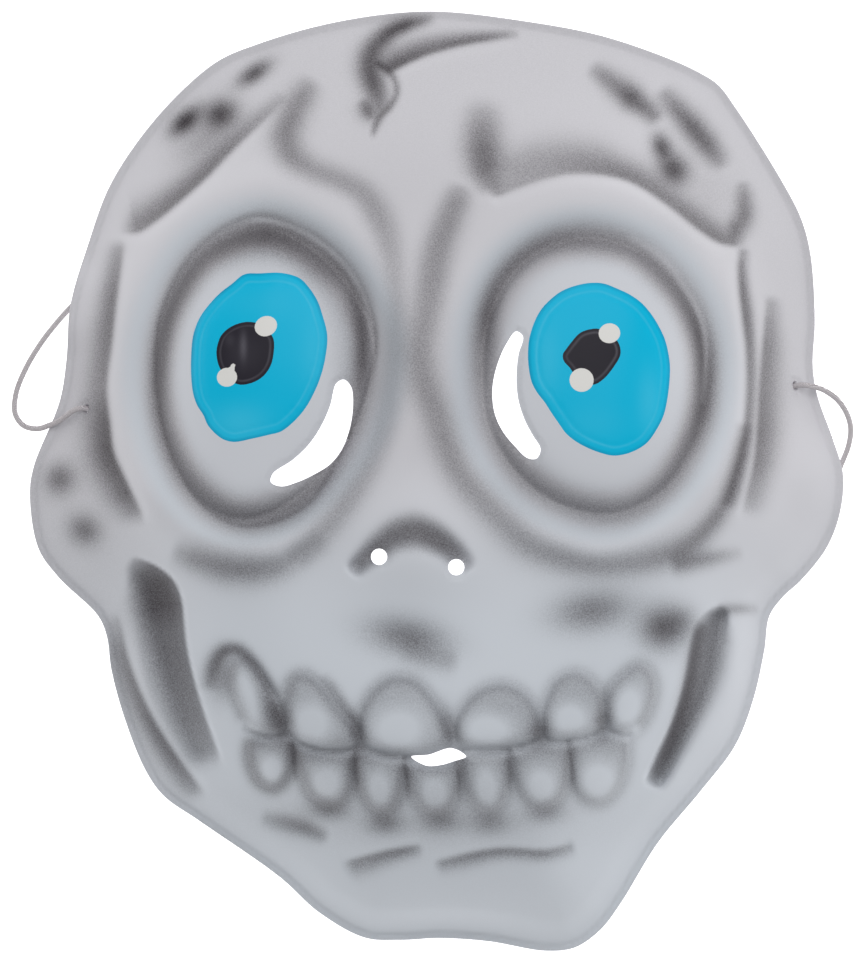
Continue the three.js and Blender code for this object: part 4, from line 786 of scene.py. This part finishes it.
def climbAt(inset):
    share = np.clip((inset - sheet["rimFlange"]) / sheet["rimBend"], 0, 1)
    return np.sin(share * math.pi / 2) ** sheet["climbEase"]


def blurred(values, rounds):
    for _ in range(rounds):
        for axis in (0, 1):
            values = (np.roll(values, 1, axis) + 2 * values + np.roll(values, -1, axis)) / 4
    return values


def linearShares(t):
    return [1 - t, t]


def splineShares(t):
    return [(1 - t) ** 3 / 6, (3 * t**3 - 6 * t**2 + 4) / 6,
            (3 * t + 3 * t**2 - 3 * t**3 + 1) / 6, t**3 / 6]


# Values between the grid's points, from two neighbours each way or, smoother, from four
def readGrid(xs, ys, values, points, smoother=False):
    sharesOf, before = (splineShares, 1) if smoother else (linearShares, 0)
    across = np.clip((points[:, 0] - xs[0]) / (xs[1] - xs[0]), before, len(xs) - 1.001 - before)
    up = np.clip((points[:, 1] - ys[0]) / (ys[1] - ys[0]), before, len(ys) - 1.001 - before)
    i, j = across.astype(int), up.astype(int)
    total = np.zeros(len(points))
    for row, upShare in enumerate(sharesOf(up - j)):
        for column, acrossShare in enumerate(sharesOf(across - i)):
            total += upShare * acrossShare * values[j + row - before, i + column - before]
    return total


def frontHeight(points, inset, fine=True):
    edge = sheet["fineEdge"] if fine else sheet["calmEdge"]
    relief = eyeRelief(points)
    for swelling in swellings:
        relief += swelling["rise"] * softSpot(swelling["spot"], points)
    for rows, depth in ((strokes, sheet["creaseDepth"]), (jawSlots, sheet["slotDepth"])):
        for stroke in rows:
            if "deep" in stroke:
                relief -= depth * stroke["deep"] * strokeAt(stroke, points, edge)[1]
    for patch in patches:
        if "deep" in patch:
            relief -= sheet["creaseDepth"] * patch["deep"] * softSpot(patch["spot"], points)
    for toothEdge in toothEdges:
        depth = np.clip(-signedTo(toothEdge, points) / sheet["toothRound"], 0, 1)
        relief += sheet["toothRise"] * np.sqrt(1 - (1 - depth) ** 2)
    for line in paleLines:
        relief += sheet["lineRise"] * strokeAt(line, points, edge)[1]
    for iris in irises:
        away = signedTo(iris, points, 3)
        relief += sheet["paintRise"] * smoothStep(-away, -0.3, 0.5)
        dip = np.exp(-(((away + sheet["dipPlace"]) / sheet["dipHalf"]) ** 2))
        relief -= sheet["paintDip"] * sheet["paintRise"] * dip
    fromMargin = inset - sheet["rimFlange"]
    calmShare = smoothStep(inset, sheet["calmFrom"], sheet["calmTo"])
    climb = climbAt(inset) * (1 - calmShare) + readGrid(*climbGrid, points, smoother=True) * calmShare
    sideways = sheet["sideFall"] * np.abs(points[:, 0] / halfWidth) ** sheet["sidePower"]
    endways = sheet["endFall"] * np.abs(points[:, 1] / halfHeight) ** sheet["endPower"]
    plain = sheet["depth"] * (1 - sideways - endways)
    rim = rimHeight(points)
    return rim + (plain - rim) * climb + relief * smoothStep(fromMargin, 0, sheet["reliefFade"])


def closePoints(loop, spacing=0.05):
    steps = max(2, int(np.linalg.norm(loop - np.roll(loop, 1, axis=0), axis=1).max() / spacing))
    shares = np.linspace(0, 1, steps, endpoint=False)
    ahead = np.roll(loop, -1, axis=0)
    return np.concatenate([loop + (ahead - loop) * share for share in shares])


closeOutline = closePoints(outline)
outlineTree = KDTree(len(closeOutline))
for index, place in enumerate(closeOutline):
    outlineTree.insert((*place, 0), index)
outlineTree.balance()


def insetOf(points):
    away = np.array([outlineTree.find((x, y, 0))[2] for x, y in points])
    return away * np.where(insideOf(outline, points), 1, -1)


def evenGrid(step, beyond=0):
    xs = np.arange(-halfWidth - beyond, halfWidth + beyond + step, step)
    ys = np.arange(-halfHeight - beyond, halfHeight + beyond + step, step)
    return xs, ys, np.stack(np.meshgrid(xs, ys), axis=-1).reshape(-1, 2)


# How far the sheet has climbed, without the creases midway between two sides of the outline
gridXs, gridYs, gridPlaces = evenGrid(sheet["gridStep"], sheet["gridBeyond"])
gridInset = insetOf(gridPlaces)
gridShape = (len(gridYs), len(gridXs))
climbGrid = (gridXs, gridYs, blurred(climbAt(gridInset).reshape(gridShape), sheet["climbRounds"]))


# The front without its fine edges, smoothed, on an even grid: the back follows this
def calmGrid():
    heights = frontHeight(gridPlaces, gridInset, fine=False).reshape(gridShape)
    calm = heights.copy()
    calm[1:-1, 1:-1] = (heights[1:-1, 1:-1] + heights[:-2, 1:-1] + heights[2:, 1:-1]
                        + heights[1:-1, :-2] + heights[1:-1, 2:]) / 5
    slopeY, slopeX = np.gradient(calm, gridXs[1] - gridXs[0])
    return calm, np.hypot(slopeX, slopeY)


# build the sheet from its outline, slots and holes
def holeLoops():
    loops = [(loop, loop) for loop in slots]
    angles = np.linspace(0, fullTurn, 28, endpoint=False)
    circle = np.stack([np.cos(angles), np.sin(angles)], axis=1)
    for place in placesOf(nostrils):
        ring = place + circle * sheet["nostril"] / 2
        loops.append((ring, ring))
    for place in placesOf(cordHoles):
        step = 0.6
        around = place + np.array([[step, 0], [-step, 0], [0, step], [0, -step]])
        heights = frontHeight(around, insetOf(around), fine=False)
        slope = np.array([heights[0] - heights[1], heights[2] - heights[3]]) / (2 * step)
        outward = np.array([-slope[0], -slope[1], 1]) / math.sqrt(1 + slope @ slope)
        sideA = np.cross(outward, [0, 0, 1])
        sideA /= np.linalg.norm(sideA)
        sideB = np.cross(outward, sideA)
        ring = (circle[:, :1] * sideA[:2] + circle[:, 1:] * sideB[:2]) * sheet["cordHole"] / 2
        loops.append((place + ring, place - outward[:2] * sheet["wall"] + ring))
    return loops


def gridPoints(step, loops, clearOf):
    xs, _, grid = evenGrid(step)
    grid[:, 0] += np.where(np.arange(len(grid)) // len(xs) % 2, step / 2, 0)
    grid = grid[insetOf(grid) > clearOf]
    for loop in loops:
        grid = grid[signedTo(loop, grid, 3) > clearOf]
    return grid


def turnsLeft(loop):
    following = np.roll(loop, -1, axis=0)
    return np.sum(loop[:, 0] * following[:, 1] - following[:, 0] * loop[:, 1]) > 0


def ringsBeside(loop, inward, offsets):
    ahead = np.roll(loop, -1, axis=0) - np.roll(loop, 1, axis=0)
    normal = np.stack([-ahead[:, 1], ahead[:, 0]], axis=1)
    normal /= np.linalg.norm(normal, axis=1)[:, None]
    turn = 1 if turnsLeft(loop) == inward else -1
    return [loop + normal * turn * offset for offset in offsets]


def edgeDrop(away):
    near = np.clip(sheet["edgeRound"] - away, 0, sheet["edgeRound"])
    return sheet["edgeRound"] - np.sqrt(sheet["edgeRound"] ** 2 - near**2)


def cutSheet(step, loops, clearOf):
    offsets = [share * sheet["edgeRound"] for share in (0.1, 0.35, 1)]
    allLoops = [outline] + loops
    points, edges, starts, start = list(allLoops), [], [], 0
    for loop in allLoops:
        edges += [(start + i, start + (i + 1) % len(loop)) for i in range(len(loop))]
        starts.append(start)
        start += len(loop)
    for k, loop in enumerate(allLoops):
        points += ringsBeside(loop, k == 0, offsets)
    points.append(gridPoints(step, loops, clearOf))
    flat = np.concatenate(points)
    found = delaunay_2d_cdt([Vector(p) for p in flat], edges, [], 0, 1e-6, True)
    places = np.array([tuple(p) for p in found[0]])
    triangles = np.array(found[2])
    middles = places[triangles].mean(axis=1)
    origins = [ids[0] if len(ids) else -1 for ids in found[3]]
    onLoop = np.array([0 <= o < start for o in origins])
    suspect = onLoop[triangles].all(axis=1)
    keep = np.ones(len(triangles), bool)
    keep[suspect] = insideOf(outline, middles[suspect])
    for loop in loops:
        keep[suspect] &= ~insideOf(loop, middles[suspect])
    indexOf = {o: i for i, o in enumerate(origins) if o >= 0}
    loopIds = [[indexOf[first + i] for i in range(len(loop))] for first, loop in zip(starts, allLoops)]
    return places, triangles[keep], loopIds


frontLoops, backLoops = (list(loops) for loops in zip(*holeLoops()))
frontPlaces, frontTriangles, frontIds = cutSheet(sheet["frontStep"], frontLoops, sheet["frontClear"])
print("front cut:", len(frontTriangles), "triangles")
backPlaces, backTriangles, backIds = cutSheet(sheet["backStep"], backLoops, sheet["backClear"])
print("back cut:", len(backTriangles), "triangles")


# How far a point sinks, or rises at the back, where an edge is rounded
def roundingAt(points, inset, loops):
    away = inset.copy()
    for loop in loops:
        away = np.minimum(away, signedTo(loop, points, 3))
    return edgeDrop(np.clip(away, 0, None))


frontInset = insetOf(frontPlaces)
frontHeights = frontHeight(frontPlaces, frontInset) - roundingAt(frontPlaces, frontInset, frontLoops)
backInset = insetOf(backPlaces)
calm, calmSlope = calmGrid()
steepness = readGrid(gridXs, gridYs, calmSlope, backPlaces)
backHeights = readGrid(gridXs, gridYs, calm, backPlaces) - sheet["wall"] * np.sqrt(1 + steepness**2)
thinnest = frontHeight(backPlaces, backInset) - sheet["thinnest"]
backHeights = np.minimum(backHeights, thinnest) + roundingAt(backPlaces, backInset, backLoops)
backHeights = np.maximum(backHeights, sheet["floorGap"])
print("sheet shaped")


# airbrushing, painting, painted shade and painted highlight, kept on the sheet's points
paint = {
    "toothOutside": 1.9,       # how far the grey round a tooth reaches
    "toothInside": 2.0,
    "toothGrey": 0.3,          # on a tooth away from its pale middle
    "paleShare": 1.35,         # how full that middle is
    "biteGrey": 0.2,           # share of the grey that is left at the bite line
    "biteFrom": 0.3,
    "biteTo": 3.2,
    "crispEdge": 1.0,
    "fullest": 0.97,
    "buildUp": 1.5,            # how fast strokes over one another darken
    "rimShade": 0.04,
    "rimShadeWidth": 1.0,
    "coolTop": 0.15,           # the cool tint sets in below this height on the face
    "coolBottom": 0.35,
    "coolSide": 0.45,
    "coolLoss": 0.6,           # how much of it is lost toward each side
    "coolRing": 5.5,           # the cool ring round each socket
    "coolRingHalf": 3.5,
    "coolBall": 0.6,
}


# The teeth's grey stops short of the line where upper and lower ones meet
def awayFromBite(points):
    rows = next(stroke["rows"] for stroke in strokes if stroke["name"] == "biteLine")
    places = placesOf(rows)
    away = np.full(len(points), 9.0)
    near = nearOnly(points, places.min(0), places.max(0), 9)
    away[near] = nearestOn(rows, points[near])[0]
    return away


# Airbrushed spray, with painted shade toward the edges and along the rim and painted highlight on the socket
# lines, as one darkness
def sprayAndShadeAt(points, inset):
    clear = np.ones(len(points))
    for stroke in strokes + jawSlots:
        clear *= 1 - np.clip(strokeAt(stroke, points, paint["crispEdge"])[0], 0, paint["fullest"])
    for patch in patches:
        clear *= 1 - patch["dark"] * softSpot(patch["spot"], points)
    pastBite = smoothStep(awayFromBite(points), paint["biteFrom"], paint["biteTo"])
    bite = paint["biteGrey"] + (1 - paint["biteGrey"]) * pastBite
    for tooth, edge in zip(teeth, toothEdges):
        away = signedTo(edge, points)
        width = np.where(away > 0, paint["toothOutside"], paint["toothInside"])
        clear *= 1 - tooth["dark"] * bite * np.exp(-((away / width) ** 2))
        pale = np.clip(paint["paleShare"] * softSpot(tooth["pale"], points), 0, 1)
        clear *= 1 - paint["toothGrey"] * bite * smoothStep(-away, -0.5, 1.5) * (1 - pale)
    # painted highlight along the socket lines, which takes some of the darkness away there
    for line in paleLines:
        clear = 1 - (1 - clear) * (1 - strokeAt(line, points, paint["crispEdge"])[0])
    # painted shade in a thin band along the rim
    clear *= 1 - paint["rimShade"] * np.exp(-((inset / paint["rimShadeWidth"]) ** 2))
    return 1 - clear ** paint["buildUp"]


def coolAt(points):
    up = points[:, 1] / halfHeight
    across = np.abs(points[:, 0]) / halfWidth
    low = smoothStep(-up, -paint["coolTop"], paint["coolBottom"])
    cool = low * (1 - paint["coolLoss"] * smoothStep(across, paint["coolSide"], 1))
    for eye in eyes:
        away = signedTo(loopOf(eye["groove"], 4), points, 14)
        ring = (away - paint["coolRing"]) / paint["coolRingHalf"]
        cool = np.maximum(cool, np.exp(-(ring**2)))
        cool = np.maximum(cool, paint["coolBall"] * smoothStep(-away, 2, 6))
    return np.clip(cool, 0, 1)


def paintEdges(points):
    iris = np.minimum(signedTo(irises[0], points), signedTo(irises[1], points))
    pupil = np.minimum(signedTo(pupils[0], points), signedTo(pupils[1], points))
    spots = np.full(len(points), 6.0)
    light = np.zeros(len(points))
    for eye in eyes:
        for spot in eye["highlights"]:
            across, up = ellipseAt(spot, points)
            away = (np.hypot(across, up) - 1) * min(spot[2:4]) * acrossUnit
            spots = np.minimum(spots, away)
        for patch in eye["patches"]:
            light += patch["light"] * softSpot(patch["spot"], points)
    return iris, pupil, spots, np.clip(light, 0, 1)


# Triangles turned so that they look up, or down
def facing(places, triangles, upward):
    corners = places[triangles]
    turns = np.cross(corners[:, 1] - corners[:, 0], corners[:, 2] - corners[:, 0])
    return np.where(((turns > 0) == upward)[:, None], triangles, triangles[:, ::-1])


def buildSheet():
    count = len(frontPlaces)
    places = np.concatenate([
        np.column_stack([frontPlaces, frontHeights]),
        np.column_stack([backPlaces, backHeights]),
    ]) * millimetre
    fronts = facing(frontPlaces, frontTriangles, True)
    backs = facing(backPlaces, backTriangles, False) + count
    faces = [tuple(f) for f in fronts] + [tuple(f) for f in backs]
    for front, back in zip(frontIds, backIds):
        swapped = turnsLeft(places[front]) == (front is frontIds[0])
        for i in range(len(front)):
            a, b = front[i], front[(i + 1) % len(front)]
            c, d = back[i] + count, back[(i + 1) % len(back)] + count
            if swapped:
                a, b, c, d = b, a, d, c
            faces.append((a, b, d, c))
    mesh = bpy.data.meshes.new("face_sheet")
    mesh.from_pydata([tuple(p) for p in places], [], faces)
    mesh.validate()
    mesh.update()
    iris, pupil, spots, light = paintEdges(frontPlaces)
    farOff = 6.0
    masks = {
        "sprayAndShade": (sprayAndShadeAt(frontPlaces, frontInset), 0),
        "cool": (coolAt(frontPlaces), 0),
        "irisEdge": (iris, farOff),
        "pupilEdge": (pupil, farOff),
        "spotEdge": (spots, farOff),
        "irisLight": (light, 0),
    }
    for name, (values, behind) in masks.items():
        layer = mesh.attributes.new(name, "FLOAT", "POINT")
        everywhere = np.concatenate([values, np.full(len(backPlaces), behind)])
        layer.data.foreach_set("value", everywhere.astype(np.float32))
    for polygon in mesh.polygons:
        polygon.use_smooth = True
    return linked("face_sheet", mesh)


faceSheet = buildSheet()
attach(faceSheet, "root")
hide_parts("mask_shell")
print("sheet built:", len(faceSheet.data.polygons), "faces")


# materials
def nodeTree(material):
    material.use_nodes = True
    tree = material.node_tree
    tree.nodes.clear()
    shader = tree.nodes.new("ShaderNodeBsdfPrincipled")
    output = tree.nodes.new("ShaderNodeOutputMaterial")
    tree.links.new(shader.outputs["BSDF"], output.inputs["Surface"])
    return tree, shader


def feed(tree, socket, value):
    if isinstance(value, (int, float, tuple)):
        socket.default_value = value
    else:
        tree.links.new(value, socket)


def mathNode(tree, operation, first, second=None, clamp=False):
    node = tree.nodes.new("ShaderNodeMath")
    node.operation = operation
    node.use_clamp = clamp
    feed(tree, node.inputs[0], first)
    if second is not None:
        feed(tree, node.inputs[1], second)
    return node.outputs[0]


def mixColour(tree, factor, first, second):
    node = tree.nodes.new("ShaderNodeMix")
    node.data_type = "RGBA"
    for index, value in ((0, factor), (6, first), (7, second)):
        feed(tree, node.inputs[index], value)
    return node.outputs[2]


def colour(*levels):
    shares = [level / 255 for level in levels]
    linear = [s / 12.92 if s <= 0.04 else ((s + 0.055) / 1.055) ** 2.4 for s in shares]
    return (*linear, 1)


def attributeOf(tree, name):
    node = tree.nodes.new("ShaderNodeAttribute")
    node.attribute_type = "GEOMETRY"
    node.attribute_name = name
    return node.outputs["Fac"]


# Fine grain over a surface: a mottled mask and the height for a bump
def grainGroup():
    group = bpy.data.node_groups.new("fineGrain", "ShaderNodeTree")
    for name, start in (("Size", 1.0), ("Mottle", 0.5), ("Relief", 0.5)):
        socket = group.interface.new_socket(name, in_out="INPUT", socket_type="NodeSocketFloat")
        socket.default_value = start
    for name in ("Speckle", "Cloud", "Height"):
        group.interface.new_socket(name, in_out="OUTPUT", socket_type="NodeSocketFloat")
    source = group.nodes.new("NodeGroupInput").outputs
    result = group.nodes.new("NodeGroupOutput").inputs
    place = group.nodes.new("ShaderNodeTexCoord")
    perMetre = mathNode(group, "DIVIDE", 1000, source["Size"])
    noises = []
    for detail, scale in ((1, perMetre), (2, mathNode(group, "MULTIPLY", perMetre, 0.03))):
        noise = group.nodes.new("ShaderNodeTexNoise")
        feed(group, noise.inputs["Detail"], detail)
        feed(group, noise.inputs["Vector"], place.outputs["Object"])
        feed(group, noise.inputs["Scale"], scale)
        noises.append(noise.outputs["Fac"])
    fine, broad = noises
    around = mathNode(group, "SUBTRACT", fine, 0.5)
    feed(group, result["Speckle"], mathNode(group, "MULTIPLY", around, source["Mottle"]))
    feed(group, result["Cloud"], broad)
    feed(group, result["Height"], mathNode(group, "MULTIPLY", fine, source["Relief"]))
    return group


fineGrain = grainGroup()


def placeGrain(tree, size, mottle, relief):
    node = tree.nodes.new("ShaderNodeGroup")
    node.node_tree = fineGrain
    for name, value in (("Size", size), ("Mottle", mottle), ("Relief", relief)):
        feed(tree, node.inputs[name], value)
    return node.outputs


def bumpFrom(tree, shader, height, strength):
    bump = tree.nodes.new("ShaderNodeBump")
    feed(tree, bump.inputs["Strength"], strength)
    feed(tree, bump.inputs["Distance"], 0.0001)
    feed(tree, bump.inputs["Height"], height)
    feed(tree, shader.inputs["Normal"], bump.outputs["Normal"])


sheetPaint = {
    "body": colour(200, 199, 204),
    "bodyCool": colour(196, 201, 208),
    "sprayAndShade": colour(66, 62, 66),
    "iris": colour(0, 176, 214),
    "irisPale": colour(62, 186, 219),
    "irisDeep": colour(8, 132, 172),
    "ridge": (-2.2, 0.5),      # each band's distance past the iris's edge and its half width
    "brim": (-0.2, 0.8),
    "pupil": colour(32, 29, 38),
    "pupilPale": colour(90, 88, 96),
    "pupilRim": (-1.0, 0.5),
    "spot": colour(216, 215, 212),
    "sheen": 0.46,
    "paintSheen": 0.34,
    "specular": 0.12,
    "wobble": 0.05,            # of the painted edges, a share of the grain
    "edgeSoftness": 0.1,
    "dropsFrom": 1.15,
    "grainSize": 0.36,
    "grain": 1.7,
    "bump": 0.06,
}


def edgeMask(tree, distance, wobble):
    shifted = mathNode(tree, "ADD", distance, wobble)
    scaled = mathNode(tree, "MULTIPLY", shifted, -1 / sheetPaint["edgeSoftness"])
    return mathNode(tree, "ADD", scaled, 0.5, clamp=True)


# A band beside a painted edge, broken up by the grain's broad cloud
def bandMask(tree, distance, band, cloud):
    place, half = band
    away = mathNode(tree, "ABSOLUTE", mathNode(tree, "SUBTRACT", distance, place))
    near = mathNode(tree, "SUBTRACT", 1.0, mathNode(tree, "MULTIPLY", away, 1 / half), clamp=True)
    return mathNode(tree, "MULTIPLY", near, cloud)


def sheetMaterial():
    material = bpy.data.materials.new("airbrushed_sheet")
    tree, shader = nodeTree(material)
    grain = placeGrain(tree, sheetPaint["grainSize"], sheetPaint["grain"], 1.0)
    names = ("sprayAndShade", "cool", "irisEdge", "pupilEdge", "spotEdge", "irisLight")
    sprayAndShade, cool, irisEdge, pupilEdge, spotEdge, light = (attributeOf(tree, name) for name in names)
    body = mixColour(tree, cool, sheetPaint["body"], sheetPaint["bodyCool"])
    # droplets show most where the spray thins out
    thin = mathNode(tree, "MULTIPLY", sprayAndShade, mathNode(tree, "SUBTRACT", sheetPaint["dropsFrom"], sprayAndShade))
    drops = mathNode(tree, "MULTIPLY", grain["Speckle"], thin)
    speckledSprayAndShade = mathNode(tree, "ADD", sprayAndShade, drops, clamp=True)
    # the airbrush paint, which also carries the painted shade toward the edges and along the rim
    face = mixColour(tree, speckledSprayAndShade, body, sheetPaint["sprayAndShade"])
    wobble = mathNode(tree, "MULTIPLY", grain["Speckle"], sheetPaint["wobble"])
    irisMask, pupilMask, spotMask = (edgeMask(tree, edge, wobble) for edge in (irisEdge, pupilEdge, spotEdge))
    iris = mixColour(tree, light, sheetPaint["iris"], sheetPaint["irisPale"])
    ridge = bandMask(tree, irisEdge, sheetPaint["ridge"], grain["Cloud"])
    iris = mixColour(tree, ridge, iris, sheetPaint["irisPale"])
    brim = bandMask(tree, irisEdge, sheetPaint["brim"], grain["Cloud"])
    iris = mixColour(tree, brim, iris, sheetPaint["irisDeep"])
    withIris = mixColour(tree, irisMask, face, iris)
    # a paler band just inside the pupil's edge
    pupilRimBand = bandMask(tree, pupilEdge, sheetPaint["pupilRim"], grain["Cloud"])
    pupilLight = mathNode(tree, "MAXIMUM", pupilRimBand, light)
    pupil = mixColour(tree, pupilLight, sheetPaint["pupil"], sheetPaint["pupilPale"])
    withPupil = mixColour(tree, pupilMask, withIris, pupil)
    finished = mixColour(tree, spotMask, withPupil, sheetPaint["spot"])
    feed(tree, shader.inputs["Base Color"], finished)
    gloss = mathNode(tree, "MULTIPLY", irisMask, sheetPaint["paintSheen"] - sheetPaint["sheen"])
    feed(tree, shader.inputs["Roughness"], mathNode(tree, "ADD", gloss, sheetPaint["sheen"]))
    feed(tree, shader.inputs["Specular IOR Level"], sheetPaint["specular"])
    bumpFrom(tree, shader, grain["Height"], sheetPaint["bump"])
    return material


cordPaint = {
    "pale": colour(206, 202, 205),
    "dark": colour(150, 144, 147),
    "ribs": 1400,
    "ribBend": 1.5,
    "sheen": 0.85,
    "grainSize": 0.35,
    "bump": 0.4,
}


def cordMaterial():
    material = bpy.data.materials.new("braided_elastic")
    tree, shader = nodeTree(material)
    grain = placeGrain(tree, cordPaint["grainSize"], 1.0, 1.0)
    ribs = tree.nodes.new("ShaderNodeTexWave")
    ribs.wave_type = "BANDS"
    ribs.bands_direction = "DIAGONAL"
    feed(tree, ribs.inputs["Scale"], cordPaint["ribs"])
    feed(tree, ribs.inputs["Distortion"], cordPaint["ribBend"])
    place = tree.nodes.new("ShaderNodeTexCoord")
    feed(tree, ribs.inputs["Vector"], place.outputs["Object"])
    woven = mathNode(tree, "ADD", ribs.outputs["Fac"], grain["Speckle"], clamp=True)
    feed(tree, shader.inputs["Base Color"], mixColour(tree, woven, cordPaint["dark"], cordPaint["pale"]))
    feed(tree, shader.inputs["Roughness"], cordPaint["sheen"])
    bumpFrom(tree, shader, woven, cordPaint["bump"])
    return material


faceSheet.data.materials.append(sheetMaterial())
elasticFinish = cordMaterial()
for piece in (headCord, leftKnot, rightKnot):
    piece.data.materials.append(elasticFinish)
print("materials made")

# floor and light
studio = {
    "floorHalf": 3.0,
    "floorHeight": -0.0003,
    "floorRoughness": 0.9,
    "floorGlow": 1.0,
    "skyStrength": 0.5,
    "keyPower": 18.6,
    "keySize": 1.6,
    "keyPlace": (0.3, 0.7, 1.7),
}
floorMesh = bpy.data.meshes.new("pale_floor")
corners = [(-1, -1), (1, -1), (1, 1), (-1, 1)]
floorMesh.from_pydata([(x * studio["floorHalf"], y * studio["floorHalf"], studio["floorHeight"])
                       for x, y in corners], [], [(0, 1, 2, 3)])
paleFloor = linked("pale_floor", floorMesh)
floorMaterial = bpy.data.materials.new("lit_paper")
_, floorShader = nodeTree(floorMaterial)
floorShader.inputs["Base Color"].default_value = (0.8, 0.8, 0.8, 1)
floorShader.inputs["Roughness"].default_value = studio["floorRoughness"]
floorShader.inputs["Emission Color"].default_value = (1, 1, 1, 1)
floorShader.inputs["Emission Strength"].default_value = studio["floorGlow"]
floorMesh.materials.append(floorMaterial)

world = bpy.data.worlds.new("soft_sky")
world.use_nodes = True
world.node_tree.nodes["Background"].inputs["Color"].default_value = (1, 1, 1, 1)
world.node_tree.nodes["Background"].inputs["Strength"].default_value = studio["skyStrength"]
bpy.context.scene.world = world

keyData = bpy.data.lights.new("soft_box", "AREA")
keyData.energy = studio["keyPower"]
keyData.size = studio["keySize"]
keyLight = linked("soft_box", keyData)
keyLight.location = studio["keyPlace"]
keyLight.rotation_mode = "QUATERNION"
keyLight.rotation_quaternion = (-Vector(studio["keyPlace"])).to_track_quat("-Z", "Y")
bpy.context.scene.view_settings.view_transform = "Standard"
print("studio lit")

bpy.context.view_layer.update()
